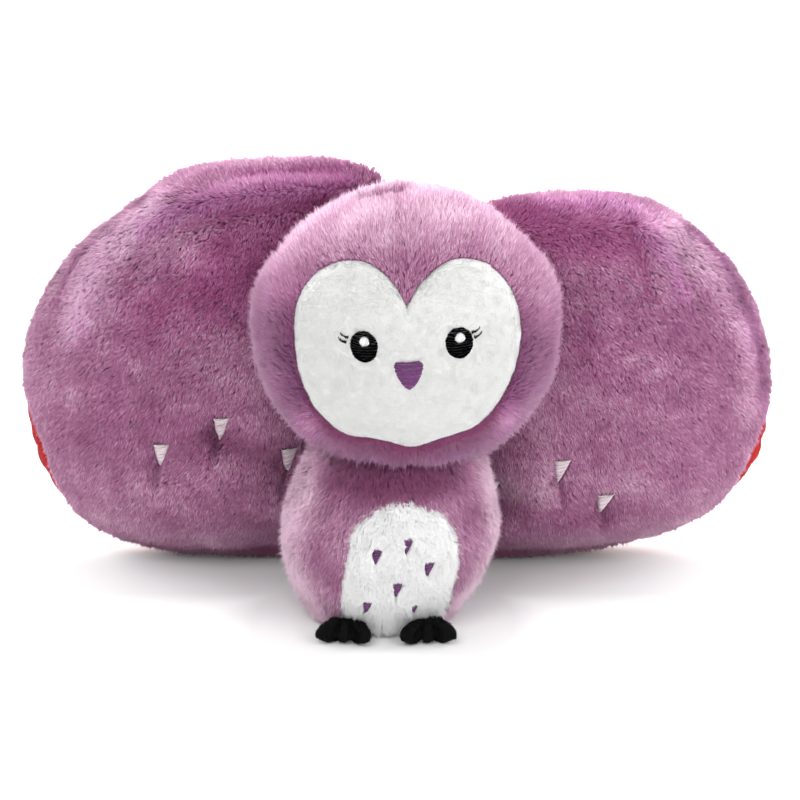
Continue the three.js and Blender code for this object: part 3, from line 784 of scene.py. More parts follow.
def pile(name, skin, body, kind, length, comb, tone, keep, seed, dye_and_painted_light=None):
    """Hairs on a skin, each a slim diamond that bends at its middle.

    comb(points, normals) is the way they are brushed, and tone(points) their shade from 0 to 1.
    The last argument gives the shares of hairs that take the second and the third colour set; for the mauve
    pile these are the shaded and the lit copies of the one mauve, which paint shade and light.
    """
    random = np.random.default_rng(seed)
    corners, weights = scattered(skin, kind["per_mm2"], random)

    def between(values):
        return np.einsum("nk,nk...->n...", weights, values[corners])

    skin_points = points_of(skin)
    root, normal = between(skin_points), unit(between(points_of(skin, "normal")))
    kept = keep(root, normal)
    root, normal, corners, weights = (values[kept] for values in (root, normal, corners, weights))
    count = len(root)
    brushed = comb(root, normal)
    brushed = unit(brushed - (brushed * normal).sum(1, keepdims=True) * normal)
    across = np.cross(normal, brushed)
    nap = lumps(root, kind["nap_size"], seed + 1)
    turn = random.normal(0, kind["spread"], count) + kind["nap"] * nap
    turn += TURN_LUMP * lumps(root, TURN_LUMP_SIZE, seed + 2)
    brushed = brushed * np.cos(turn)[:, None] + across * np.sin(turn)[:, None]
    across = np.cross(normal, brushed)
    tilt = 1 + random.normal(0, TILT_SPREAD, count) + TILT_LUMP * lumps(root, TILT_LUMP_SIZE, seed + 3)
    tilt *= kind["lean"]
    stray = random.random(count) < STRAY_SHARE
    tilt = np.where(stray, STRAY_LEAN * tilt, tilt)
    reach = between(length(skin_points)) * random.uniform(SHORTEST, LONGEST, count)
    reach *= 1 + STRAY_REACH * stray
    lower, upper = (
        normal * np.cos(lean * tilt)[:, None] + brushed * np.sin(lean * tilt)[:, None]
        for lean in (LOWER_LEAN, UPPER_LEAN)
    )
    base = root - normal * HAIR_SINK
    middle = base + lower * (BEND_SHARE * reach)[:, None]
    tip = middle + upper * ((1 - BEND_SHARE) * reach)[:, None]
    middle, tip = gathered(root, (middle, tip), kind["clump"], random)
    slimmed = 1 - STRAY_SLIMNESS * stray
    half = across * (kind["width"] / 2 * random.uniform(SLIMMEST, WIDEST, count) * slimmed)[:, None]
    points = np.stack([base, middle - half, middle + half, tip], axis=1)
    points[..., 2] = np.maximum(points[..., 2], HAIR_CLEAR)
    # Tone follows the nap's turn as well: a painted sheen of the brushed pile.
    shade = between(tone(skin_points)) + NAP_PAINTED_SHEEN * nap + SHADE_LUMP * lumps(root, SHADE_LUMP_SIZE, seed + 4)
    shade = np.clip(shade + random.normal(0, SHADE_SPREAD, count) + STRAY_SHADE * stray, DARKEST, PALEST)
    strips = kind.get("dyes_and_painted_light", 1)
    strip = np.zeros(count)
    # Shares of hairs in the second and third colour sets: for the mauve pile, painted shade and light.
    if dye_and_painted_light:
        second, third = (between(share) for share in dye_and_painted_light(skin_points))
        pick = random.random(count)
        strip = np.where(pick < second, 1, np.where(pick < second + third, 2, 0))
    order = random.permutation(count)
    parts = np.array_split(order, -(-count // MOST_HAIRS))
    for number, part in enumerate(parts, 1):
        first = 4 * np.arange(len(part))[:, None, None]
        faces = (first + np.array([[0, 1, 2], [1, 3, 2]])).reshape(-1, 3)
        title = f"{name}_{number}" if len(parts) > 1 else name
        piece = mesh_piece(title, points[part].reshape(-1, 3), triangles=faces)
        map_points = np.stack([
            (strip[part, None] + [0.03, 0.5, 0.5, 0.97]) / strips,
            np.repeat(shade[part, None], 4, axis=1),
        ], axis=-1).reshape(-1, 2)
        layer = piece.data.uv_layers.new(name="OFBake")
        layer.uv.foreach_set("vector", map_points[faces.ravel()].astype(np.float32).ravel())
        normals = np.repeat(normal[part], 4, axis=0).astype(np.float32)
        piece.data.normals_split_custom_set_from_vertices(normals)
        dress(piece, body, kind["slot"], kind["material"])


# Stitching

ARCH_POINTS = 5
FEWEST_STITCH_STEPS, STITCH_STEP = 5, 0.9 * MM
STITCH_OVERRUN = (-0.1, 0.5)
STITCH_SWELL = (0.85, 1.1)
STITCH_DIP = 0.25 * MM
THREAD_WAVE = 0.07 * MM
THREAD_TONES = (0.05, 0.95)
MARK_LEAN_SHARE, MARK_BOW_SHARE, MARK_TIP_SHARE = -0.24, 0.07, 0.07


def satin(name, outline, tree, place, body, slot, material, angle=0.0, hole=None, seed=1, rise=SATIN_RISE):
    """A figure filled with rows of satin thread that lie on a surface."""
    random = np.random.default_rng(seed)
    turn = np.array([[math.cos(angle), math.sin(angle)], [-math.sin(angle), math.cos(angle)]])
    loops = [np.asarray(outline) @ turn.T] + ([np.asarray(hole) @ turn.T] if hole is not None else [])
    low = loops[0][:, 1].min()
    rows = int((loops[0][:, 1].max() - low) / THREAD_PITCH)
    arch = np.linspace(0, math.pi, ARCH_POINTS)
    points, faces, map_points = [], [], []
    for row in range(rows):
        height = low + (row + 0.5) * THREAD_PITCH
        ends = []
        for loop in loops:
            for (x0, z0), (x1, z1) in zip(loop, np.roll(loop, -1, axis=0)):
                if (z0 < height) != (z1 < height):
                    ends.append(x0 + (height - z0) * (x1 - x0) / (z1 - z0))
        ends.sort()
        for start, end in zip(ends[::2], ends[1::2]):
            start = start - random.uniform(*STITCH_OVERRUN) * MM
            end = end + random.uniform(*STITCH_OVERRUN) * MM
            steps = max(FEWEST_STITCH_STEPS, int((end - start) / STITCH_STEP) + 3)
            share = np.linspace(0, 1, steps)
            line = np.column_stack([start + share * (end - start), np.full(steps, height)])
            line[:, 1] += THREAD_WAVE * np.sin(share * 7 + 1.7 * row)
            on, up = on_surface(tree, place, line @ turn)
            up = unit(0.6 * unit(up.mean(0)) + 0.4 * up)
            along = unit(np.gradient(on, axis=0))
            side = unit(np.cross(up, along))
            crown = rise * (1 - np.abs(2 * share - 1) ** 4) * random.uniform(*STITCH_SWELL)
            crown[[0, -1]] = -STITCH_DIP
            middle = on + up * crown[:, None]
            ring = (middle[:, None, :]
                    + side[:, None, :] * (0.5 * THREAD_PITCH * np.cos(arch))[None, :, None]
                    + up[:, None, :] * (THREAD_HEIGHT * np.sin(arch))[None, :, None])
            first = sum(len(p) for p in points)
            points.append(ring.reshape(-1, 3))
            map_points.append(np.column_stack([
                np.repeat(0.02 + 0.96 * share, ARCH_POINTS),
                np.full(ARCH_POINTS * steps, random.uniform(*THREAD_TONES)),
            ]))
            step, part = np.meshgrid(np.arange(steps - 1), np.arange(ARCH_POINTS - 1), indexing="ij")
            here = first + step * ARCH_POINTS + part
            beyond = here + ARCH_POINTS
            faces.append(np.stack([here, beyond, beyond + 1, here + 1], axis=-1).reshape(-1, 4))
    faces = np.vstack(faces)
    piece = mesh_piece(name, np.vstack(points), faces)
    layer = piece.data.uv_layers.new(name="OFBake")
    layer.uv.foreach_set("vector", np.vstack(map_points)[faces.ravel()].astype(np.float32).ravel())
    return dress(piece, body, slot, material)


def ellipse(centre, size, tilt=0.0, steps=48):
    angle = np.linspace(0, 2 * math.pi, steps, endpoint=False)
    x, z = np.cos(angle) * size[0] / 2, np.sin(angle) * size[1] / 2
    return np.column_stack([
        centre[0] + x * math.cos(tilt) - z * math.sin(tilt),
        centre[1] + x * math.sin(tilt) + z * math.cos(tilt),
    ])


def triangle(centre, size):
    """A stitched triangle that hangs point down and leans to the left."""
    (x, z), (width, height) = centre, size
    lean, bow, tip = MARK_LEAN_SHARE * width, MARK_BOW_SHARE * width, MARK_TIP_SHARE * width
    return np.array([
        [x - width / 2, z + height / 2], [x + lean / 2 - width / 4 - bow, z],
        [x + lean - tip, z - height / 2], [x + lean + tip, z - height / 2],
        [x + lean / 2 + width / 4 + bow, z], [x + width / 2, z + height / 2],
    ])


def shrunk(outline, by):
    centre = outline.mean(0)
    return centre + (outline - centre) * (1 - by)


# Body

BODY_ROWS, BODY_STEPS = 150, 200
BODY_BILLOW = 2 * MM
BODY_BUMPS = [(0.9 * MM, 55 * MM, 11), (0.4 * MM, 22 * MM, 12)]
SIDE_SEAM_PINCH = 0.8 * MM
BELLY_SEAM_PINCH = 1.2 * MM
BELLY_RINGS, BELLY_PUFF, BELLY_TUCK = 22, 0.7 * MM, 0.6 * MM
BODY_PILE_LENGTH = 7 * MM
# Body tones: painted rim light at the sides, a painted shadow under the chin.
BODY_TONE, SIDE_RIM_LIGHT, CHIN_SHADOW_DEPTH, CHIN_SHADOW_SHARE = 0.43, 0.52, 0.9, 0.2
BELLY_TONE, BELLY_LUMP, BELLY_LOW_LUMP = 0.74, 0.16, 0.3
BELLY_PILE_LENGTH, BELLY_FRINGE = 5 * MM, 5 * MM
MARK_RISE = 2.2 * MM
MARK_THREAD_ANGLE = 0.25
BODY_PLACE = Matrix.Translation(ORIGIN)
BELLY_OUTLINE = through(
    np.array(BELLY_OUTLINE_SHARES) * [BELLY_WIDTH / 2, BELLY_HIGH - BELLY_LOW] + [BELLY_X, BELLY_LOW],
    110, closed=True,
)
BELLY_CENTRE = np.array([BELLY_X, 0.5 * (BELLY_LOW + BELLY_HIGH)])
BELLY_MARKS = [
    triangle((BELLY_X + across * BELLY_WIDTH / 2, up * BELLY_HIGH), size * BELLY_MARK_SIZE)
    for across, up, size in BELLY_MARK_SHARES
]


def make_body_skin():
    heights = BODY_HEIGHT_SHARES + [1 + share * NECK_RISE / BODY_HEIGHT for share in NECK_RISE_SHARES]
    girths = BODY_GIRTH_SHARES + [share * BODY_GIRTH_SHARES[-1] for share in NECK_GIRTH_SHARES]
    outline = np.column_stack([np.array(girths) * BODY_WIDTH / 2, np.array(heights) * BODY_HEIGHT])
    profile = through(outline, BODY_ROWS)
    radius, up = profile[:, 0], np.maximum(profile[:, 1], 0)
    share = np.minimum(up / BODY_HEIGHT, 1)
    centre = BODY_BASE + (share ** LEAN_POWER)[:, None] * (NECK - BODY_BASE)
    depth = BODY_DEPTH / BODY_WIDTH + (1 - BODY_DEPTH / BODY_WIDTH) * smoothstep(share, 0.6, 1)
    angle = np.linspace(0, 2 * math.pi, BODY_STEPS, endpoint=False)
    rings = np.stack([
        centre[:, :1] + radius[:, None] * np.cos(angle),
        centre[:, 1:] + (radius * depth)[:, None] * np.sin(angle),
        np.repeat(up[:, None], len(angle), axis=1),
    ], axis=-1) + ORIGIN
    piece = closed_skin("body_plush", rings[0].mean(0), rings[1:-1], rings[-1].mean(0))

    def held(points):
        z = points[:, 2]
        return np.maximum(fading(z, 2 * MM, 12 * MM), smoothstep(z, 0.9 * BODY_HEIGHT, BODY_HEIGHT))

    settle(piece, held, BODY_BILLOW)

    def shape(points):
        local = points - ORIGIN
        front = local[:, 1] < 0
        rim = edge_distance(local[:, [0, 2]], BELLY_OUTLINE)
        seam = bell(local[:, 1], BODY_BASE[1], 1.6 * MM) * smoothstep(local[:, 2], 2 * MM, 8 * MM)
        upright = smoothstep(local[:, 2], 3 * MM, 16 * MM)
        puffed = upright * bumps(points, BODY_BUMPS)
        return puffed - SIDE_SEAM_PINCH * seam - BELLY_SEAM_PINCH * front * bell(rim, 0, 2.2 * MM)

    sculpt(piece, shape)
    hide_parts("body_cover_front", "body_cover_back", "body_base", "body_fill")
    return dress(piece, "body", "mauve_plush", MAUVE_BACKING)


def make_belly(body_tree):
    piece = let_in_panel(
        "belly_plush", BELLY_OUTLINE, BELLY_CENTRE, body_tree, BODY_PLACE, BELLY_RINGS,
        lambda ring: BELLY_PUFF * (1 - ring ** 8), BELLY_TUCK,
    )
    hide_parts("belly_panel")
    return dress(piece, "body", "white_plush", WHITE_BACKING)


def body_comb(points, normals):
    across = (points[:, 0] - ORIGIN[0] - BODY_BASE[0]) / (BODY_WIDTH / 2)
    return np.column_stack([0.45 * across, 0.15 * np.sign(normals[:, 1]), -np.ones(len(points))])


def near_marks(flat, marks, above):
    """Which flat points lie in a stitched figure, or so close above it that a hair would hang over it."""
    found = np.zeros(len(flat), bool)
    for mark in marks:
        for rise in np.linspace(0, above, 3):
            found |= inside(flat - [0, rise], mark)
    return found


def make_body_piles(skin, belly):
    def mauve_kept(points, normals):
        local = points - ORIGIN
        on_belly = inside(local[:, [0, 2]], BELLY_OUTLINE) & (local[:, 1] < 0)
        return ~on_belly & (local[:, 2] < BODY_HEIGHT + 4 * MM) & (local[:, 2] > 1.5 * MM)

    # Where the head shades the body under its chin: painted shadow, darker and with more of the shaded copy.
    def under_chin_shadow(points):
        x, _, z = (points - ORIGIN).T
        return smoothstep(z, 0.78 * BODY_HEIGHT, 0.92 * BODY_HEIGHT) * bell(x, -4 * MM, 34 * MM)

    def mauve_tone(points):
        x, _, z = (points - ORIGIN).T
        lean = (np.clip(z / BODY_HEIGHT, 0, 1) ** LEAN_POWER) * (NECK[0] - BODY_BASE[0])
        girth = np.interp(z / BODY_HEIGHT, BODY_HEIGHT_SHARES, np.maximum(BODY_GIRTH_SHARES, 0.5))
        side = np.abs(x - BODY_BASE[0] - lean) / (BODY_WIDTH / 2 * girth)
        side -= 0.08 * (x > 0) * smoothstep(z, 0.2 * BODY_HEIGHT, 0.5 * BODY_HEIGHT)
        low = fading(z, 10 * MM, 52 * MM)
        # Paler at the sides, and more so low down: painted rim light.
        painted_rim_light = smoothstep(side, 0.68, 0.93) + 0.9 * low * smoothstep(side, 0.3, 0.8)
        shaded = BODY_TONE + SIDE_RIM_LIGHT * painted_rim_light - CHIN_SHADOW_DEPTH * under_chin_shadow(points)
        return shaded + 0.09 * lumps(points, 40 * MM, 21)

    def mauve_shadow_shares(points):
        return CHIN_SHADOW_SHARE * under_chin_shadow(points), 0 * points[:, 0]

    pile(
        "body_pile", skin, "body", PLUSH, all_over(BODY_PILE_LENGTH), body_comb, mauve_tone, mauve_kept, 101,
        mauve_shadow_shares,
    )

    def flat(points):
        return (points - ORIGIN)[:, [0, 2]]

    def white_kept(points, normals):
        return ~near_marks(flat(points), BELLY_MARKS, 0) & (normals[:, 1] < 0.2)

    def white_length(points):
        up = (points[:, 2] - BELLY_LOW) / (BELLY_HIGH - BELLY_LOW)
        over = near_marks(flat(points), BELLY_MARKS, 2.4 * MM)
        return (BELLY_PILE_LENGTH + BELLY_FRINGE * smoothstep(-up, -0.25, 0.0)) * (1 - 0.5 * over)

    def white_tone(points):
        low = fading(points[:, 2], BELLY_LOW, BELLY_LOW + 22 * MM)
        lumpy = BELLY_TONE + BELLY_LUMP * lumps(points, 9 * MM, 22)
        return lumpy + BELLY_LOW_LUMP * low * lumps(points, 4 * MM, 36)

    def white_comb(points, normals):
        across, up = ((flat(points) - BELLY_CENTRE) / [BELLY_WIDTH / 2, (BELLY_HIGH - BELLY_LOW) / 2]).T
        return np.column_stack([0.8 * across ** 3, 0 * up, -np.ones(len(points))])

    pile("belly_pile", belly, "body", BELLY_PLUSH, white_length, white_comb, white_tone, white_kept, 102)


def make_belly_marks(body_tree):
    for number, mark in enumerate(BELLY_MARKS, 1):
        piece = satin(
            f"belly_stitch_{number}", mark, body_tree, BODY_PLACE, "body", "purple_thread", PURPLE_THREAD,
            angle=MARK_THREAD_ANGLE, seed=200 + number, rise=MARK_RISE,
        )
        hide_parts(f"belly_mark_{number}")


# Feet

TOE_STEPS, TOE_ROWS = 40, 24
TOE_GROOVE, TOE_GROOVE_ANGLE = 2.2 * MM, 0.14
FOOT_BUMP, FOOT_BUMP_SIZE = 0.35 * MM, 7 * MM
FOOT_PILE_LENGTH, FOOT_TONE = 1.7 * MM, 0.5


def make_foot(name):
    side = -1 if name == "left" else 1
    place = Vector((FOOT_X[name], FOOT_Y, TOE_SIZE[2] / 2 - FLOOR_CUT)) + Vector(ORIGIN)
    blobs = [(HEEL_SIZE, Matrix.Translation(place + Vector((0, HEEL_SETBACK, 0))))]
    for angle, share in zip(TOE_FAN, TOE_LENGTH_SHARES):
        size = TOE_SIZE * [1, share, 1]
        turned = Matrix.Translation(place) @ Matrix.Rotation(side * angle, 4, "Z")
        blobs.append((size, turned @ Matrix.Translation((0, -TOE_REACH * share, 0))))
    points, quads, triangles = [], [], []
    steps, rows = TOE_STEPS, TOE_ROWS
    polar = np.linspace(0, math.pi, rows + 2)[1:-1]
    around = np.linspace(0, 2 * math.pi, steps, endpoint=False)
    for size, matrix in blobs:
        ball = np.stack([
            np.sin(polar)[:, None] * np.cos(around), np.sin(polar)[:, None] * np.sin(around),
            -np.cos(polar)[:, None] * np.ones(steps),
        ], axis=-1).reshape(-1, 3)
        ball = np.vstack([ball, [0, 0, -1], [0, 0, 1]]) * size / 2
        first = sum(len(p) for p in points)
        points.append(carried(ball, matrix))
        quads.append(band_faces(rows, steps, first))
        triangles.append(fan_faces(first + rows * steps, first, steps, False))
        triangles.append(fan_faces(first + rows * steps + 1, first + (rows - 1) * steps, steps, True))
    piece = mesh_piece(f"foot_{name}_plush", np.vstack(points), np.vstack(quads), np.vstack(triangles))
    remesh(piece, FOOT_GRAIN, 2)

    def grooves(points):
        x, y, _ = (points - place).T
        angle, reach = np.arctan2(side * x, -y), np.hypot(x, y)
        between = [0.5 * (one + other) for one, other in zip(TOE_FAN, TOE_FAN[1:])]
        gaps = sum(bell(angle, middle, TOE_GROOVE_ANGLE) for middle in between)
        depth = TOE_GROOVE * gaps * smoothstep(reach, 5 * MM, 11 * MM)
        return FOOT_BUMP * lumps(points, FOOT_BUMP_SIZE, 31 + side) - depth

    sculpt(piece, grooves)
    rest_on_floor(piece)
    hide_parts(f"foot_{name}_cover", f"foot_{name}_fill")
    dress(piece, "body", "black_plush", BLACK_BACKING)
    away = np.array(place) * [1, 1, 0]
    pile(
        f"foot_{name}_pile", piece, "body", FOOT_PLUSH, all_over(FOOT_PILE_LENGTH),
        lambda p, n: (p - away) * [1, 1, 0] + [0, 0, -0.01], all_over(FOOT_TONE),
        lambda p, n: (n[:, 2] > -0.5) & (p[:, 2] > 0.8 * MM), 111 + side,
    )


# Head

HEAD_ROWS, HEAD_STEPS = 170, 240
HEAD_BILLOW = 2 * MM
HEAD_BUMPS = [(1.1 * MM, 60 * MM, 13), (0.45 * MM, 21 * MM, 14)]
HEAD_SEAM_PINCH, FACE_SEAM_PINCH = 1.0 * MM, 1.3 * MM
CREASE_X, CREASE_Y = -11 * MM, -9 * MM
CROWN_SEAM_DEPTH, CREASE_DEPTH, LIP_RISE = 2.2 * MM, 3.6 * MM, 1.6 * MM
FACE_RINGS, FACE_PUFF, FACE_TUCK = 46, 2.4 * MM, 0.8 * MM
LASH_PULL, STITCH_PULL, PULL_REACH = 0.35 * MM, 1.0 * MM, 3 * MM
RIM_PILE_LENGTH, HEAD_PILE_GAIN, CHIN_PILE_GAIN = 3.4 * MM, 4.2 * MM, 1.4 * MM
# Head tones: painted light on the crown and jaw corners, painted shade on the lower sides, under the face's
# edge and in the crown's folds.
HEAD_TONE, CROWN_HIGHLIGHT, JAW_HIGHLIGHT = 0.4, 0.28, 0.65
LOW_SIDE_SHADE, TUCK_SHADE, SEAM_SHADE, FOLD_SHADE = 0.45, 0.45, 0.35, 0.12
JAW_X, JAW_Z = 52 * MM, -42 * MM
FACE_PILE_LENGTH, FACE_TONE, BROW_PAINTED_LIGHT, FACE_LUMP = 1.3 * MM, 0.12, 0.42, 0.12
FACE_WRINKLE, WRINKLE_SIZE = 0.25 * MM, 12 * MM
LASH_THREAD_RISE, HIGHLIGHT_SHIFT = 0.55 * MM, 0.3 * MM
BEAK_STEPS = 60
HEAD_PLACE = (
    Matrix.Translation(Vector(ORIGIN) + Vector((HEAD_X, HEAD_Y, BODY_HEIGHT - HEAD_SINK + HEAD_HEIGHT / 2)))
    @ Matrix.Rotation(HEAD_ROLL, 4, "Y")
)
FACE_OUTLINE = through(
    np.array(FACE_OUTLINE_SHARES + FACE_OUTLINE_SHARES[:1]) * FACE_SIZE / 2 + FACE_CENTRE, 181,
)[:-1]


def head_local(points):
    return carried(points, HEAD_PLACE.inverted())


def crown_folds(local):
    """How deep the crown is drawn in: its seam, and the crease where the seam starts."""
    x, y, z = local.T
    seam = bell(x, CROWN_SEAM_X, 1.6 * MM) * smoothstep(z, 0.02, 0.05) * smoothstep(-y, 0.004, 0.012)
    on_top = z > 0.4 * HEAD_HEIGHT
    bow = CREASE_Y + 0.15 * np.abs(x + 10 * MM)
    crease = bell(x, CREASE_X, 13 * MM) * bell(y, bow, 2.6 * MM) * on_top
    lip = bell(x, CREASE_X, 17 * MM) * bell(y, bow + 7 * MM, 4 * MM) * on_top
    return CROWN_SEAM_DEPTH * seam + CREASE_DEPTH * crease - LIP_RISE * lip


def make_head_skin():
    outline = np.column_stack([HEAD_GIRTH_SHARES, np.array(HEAD_HEIGHT_SHARES) * HEAD_HEIGHT / 2])
    girth, up = through(outline, HEAD_ROWS).T
    angle = np.linspace(0, 2 * math.pi, HEAD_STEPS, endpoint=False)
    rings = np.stack([
        girth[:, None] * HEAD_WIDTH / 2 * np.cos(angle),
        girth[:, None] * HEAD_DEPTH / 2 * np.sin(angle),
        np.repeat(up[:, None], len(angle), axis=1),
    ], axis=-1)
    rings = carried(rings, HEAD_PLACE)
    piece = closed_skin("head_plush", rings[0].mean(0), rings[1:-1], rings[-1].mean(0))

    def held(points):
        return fading(points[:, 2], BODY_HEIGHT, BODY_HEIGHT + 25 * MM)

    settle(piece, held, HEAD_BILLOW)

    def shape(points):
        local = head_local(points)
        x, y, z = local.T
        flat = local[:, [0, 2]]
        rim = edge_distance(flat, FACE_OUTLINE)
        front = y < 0
        covered = inside(flat, FACE_OUTLINE) & front
        side_seam = bell(y, HEAD_SEAM_Y, 1.8 * MM)
        puffed = bumps(points, HEAD_BUMPS) * (1 - 0.6 * covered) - crown_folds(local) * ~covered
        return puffed - HEAD_SEAM_PINCH * side_seam - FACE_SEAM_PINCH * front * bell(rim, 0, 2.4 * MM)

    sculpt(piece, shape)
    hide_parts("head_cover_left", "head_cover_right", "head_cover_back", "head_fill")
    return dress(piece, "head", "mauve_plush", MAUVE_BACKING)


def make_face(head_tree):
    def puff(ring):
        return FACE_PUFF * (1 - ring ** 14) ** 0.5

    piece = let_in_panel(
        "face_velour", FACE_OUTLINE, FACE_CENTRE - [0, 6 * MM], head_tree, HEAD_PLACE, FACE_RINGS, puff,
        FACE_TUCK,
    )

    def drawn_in(points):
        """The stitches pull the panel in round each figure, and wrinkle it a little."""
        flat = head_local(points)[:, [0, 2]]
        depth = np.zeros(len(points))
        for name, outline, *_ in face_figures():
            if not name.startswith("eye_highlight"):
                pull = LASH_PULL if name.startswith("eyelash") else STITCH_PULL
                depth += pull * bell(edge_distance(flat, outline), 0, PULL_REACH)
        wrinkles = FACE_WRINKLE * lumps(points, WRINKLE_SIZE, 29)
        return wrinkles - depth * (1 + 0.25 * lumps(points, 5 * MM, 30))

    sculpt(piece, drawn_in)
    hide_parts("face_panel")
    return dress(piece, "head", "white_velour", WHITE_VELOUR)


def lash_outline(x, z, side):
    share = np.linspace(0, 1, 9)
    rise = share * LASH_RISE - 4 * share * (1 - share) * LASH_SAG
    spine = np.column_stack([x + side * share * LASH_LENGTH, z + rise])
    half = np.column_stack([0 * share, LASH_FULLNESS * LASH_WIDTH * (1 - 0.5 * share) / 2])
    return np.vstack([spine - half, (spine + half)[::-1]])


def face_figures():
    """Every stitched figure of the face: its name, outline, hole, slot, finish and thread angle."""
    figures = []
    for name, x in EYE_X.items():
        side = -1 if name == "left" else 1
        highlight = ellipse((x + HIGHLIGHT_SHIFT, EYE_Z + HIGHLIGHT_RISE), [2 * HIGHLIGHT_RADIUS] * 2)
        eye = ellipse((x, EYE_Z), EYE_SIZE, EYE_TILT)
        figures += [
            (f"eye_{name}", eye, highlight, "black_thread", BLACK_THREAD, 0.12),
            (f"eye_highlight_{name}", shrunk(highlight, 0.05), None, "white_thread", WHITE_THREAD, 1.2),
        ]
        for level, up in (("lower", LASH_RISE), ("upper", LASH_RISE + LASH_SPREAD)):
            edge = EYE_SIZE[0] / 2 * math.sqrt(1 - (2 * up / EYE_SIZE[1]) ** 2)
            lash = lash_outline(x + side * (edge + LASH_CLEAR[name]), EYE_Z + up, side)
            figures.append((f"eyelash_{name}_{level}", lash, None, "black_thread", BLACK_THREAD, math.pi / 2))
    beak = np.array(BEAK_OUTLINE_SHARES) * BEAK_SIZE + [BEAK_X, BEAK_TOP - BEAK_SIZE[1]]
    beak = through(beak, BEAK_STEPS, closed=True)
    figures.append(("beak", beak, None, "purple_thread", PURPLE_THREAD, 0.03))
    return figures


def make_face_stitching(face_tree):
    for number, (name, outline, hole, slot, material, angle) in enumerate(face_figures()):
        piece = satin(
            f"{name}_stitches", outline, face_tree, HEAD_PLACE, "head", slot, material, angle, hole,
            seed=300 + number, rise=LASH_THREAD_RISE if name.startswith("eyelash") else SATIN_RISE,
        )
        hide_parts(name)


def make_head_piles(skin, face):
    def mauve_kept(points, normals):
        local = head_local(points)
        on_face = inside(local[:, [0, 2]], FACE_OUTLINE) & (local[:, 1] < 0)
        under = local[:, 2] < -0.47 * HEAD_HEIGHT
        return ~on_face & ~under

    def comb(points, normals):
        local = head_local(points)
        x, y, z = local.T
        up = smoothstep(z, -0.07, -0.02)
        behind = smoothstep(y, 0.01, 0.05)
        rise = 0.75 * up - 0.3 * (1 - up)
        return np.column_stack([0 * x, 1 - behind, rise * (1 - behind) - behind])

    def rim_distance(local):
        return np.where(local[:, 1] < 0, edge_distance(local[:, [0, 2]], FACE_OUTLINE), HEAD_DEPTH)

    # The head's lower sides: painted shade, with the lilac copy.
    def low_side_shade(local):
        return fading(local[:, 2] + 0.12 * local[:, 0], -8 * MM, 38 * MM)

    # Under the face's lower edge, where the head tucks in: painted shade.
    def tucked(local):
        near = fading(rim_distance(local), 3 * MM, 9 * MM)
        return smoothstep(-local[:, 2], 34 * MM, 50 * MM) * near

    # A thin darker line along the face's lower seam: painted shade.
    def seam(local):
        return bell(rim_distance(local), 0.6 * MM, 1.6 * MM) * smoothstep(-local[:, 2], 10 * MM, 30 * MM)

    def tone(points):
        local = head_local(points)
        # Paler towards the top: a painted highlight on the crown.
        top = smoothstep(local[:, 2], 36 * MM, 74 * MM)
        # Paler jaw corners: painted light on the lit fringe.
        jaw = bell(np.abs(local[:, 0]), JAW_X, 10 * MM) * bell(local[:, 2], JAW_Z, 11 * MM)
        return (
            HEAD_TONE + CROWN_HIGHLIGHT * top - LOW_SIDE_SHADE * low_side_shade(local) + JAW_HIGHLIGHT * jaw
            - TUCK_SHADE * tucked(local) - SEAM_SHADE * seam(local)
            # Darker in the crown's seam and crease: painted shade.
            + 0.09 * lumps(points, 35 * MM, 23) - FOLD_SHADE / MM * np.maximum(crown_folds(local), 0)
        )

    # Shares of the shaded copy, for the painted shade where the head tucks under, along the face's seam and a
    # little on the lower sides, and of the lilac copy on the lower sides.
    def dye_and_painted_light(points):
        local = head_local(points)
        low, deep = low_side_shade(local), tucked(local)
        return 0.6 * deep + 0.12 * low + seam(local), 0.6 * low * (1 - deep)

    def length(points):
        local = head_local(points)
        chin = smoothstep(-local[:, 2], 46 * MM, 60 * MM) * (0.8 + 0.8 * lumps(points, 11 * MM, 28))
        gain = HEAD_PILE_GAIN + CHIN_PILE_GAIN * chin
        return RIM_PILE_LENGTH + gain * smoothstep(rim_distance(local), 0, 10 * MM)

    pile("head_pile", skin, "head", PLUSH, length, comb, tone, mauve_kept, 103, dye_and_painted_light)
    figures = [shrunk(outline, -0.04) for _, outline, *_ in face_figures()]

    def velour_kept(points, normals):
        return ~near_marks(head_local(points)[:, [0, 2]], figures, 0)

    def velour_comb(points, normals):
        return np.column_stack([0.3 * np.sign(points[:, 0]), 0 * points[:, 0], -np.ones(len(points))])

    def velour_tone(points):
        # Paler towards the brow: painted light from above.
        up = smoothstep(head_local(points)[:, 2], 0, 40 * MM)
        return FACE_TONE + BROW_PAINTED_LIGHT * up + FACE_LUMP * lumps(points, 6 * MM, 24)

    pile(
        "face_pile", face, "head", FACE_PLUSH, all_over(FACE_PILE_LENGTH), velour_comb, velour_tone,
        velour_kept, 104,
    )


# Wings

WING_STEPS, WING_FRONT_ROWS, WING_BACK_ROWS = 240, 62, 46
WING_BILLOW = 5 * MM
WING_BACK_BUMP, WING_BACK_PUCKER = 0.5 * MM, 0.45 * MM
PUCKERS, PUCKER_DEPTH, WING_SEAM_PINCH = 46, 0.3 * MM, 1.3 * MM
FOLD_DEPTH, FOLD_WIDTH = 3.4 * MM, 2.4 * MM
NICK_DEPTH, NICK_WIDTH = 2 * MM, 1.4 * MM
DIP_DEPTH, DIP_WIDTH = 2.2 * MM, 9 * MM
PROFILE_STEPS = 721
WING_PILE_LENGTH, VELOUR_PILE_LENGTH = 5 * MM, 1.5 * MM
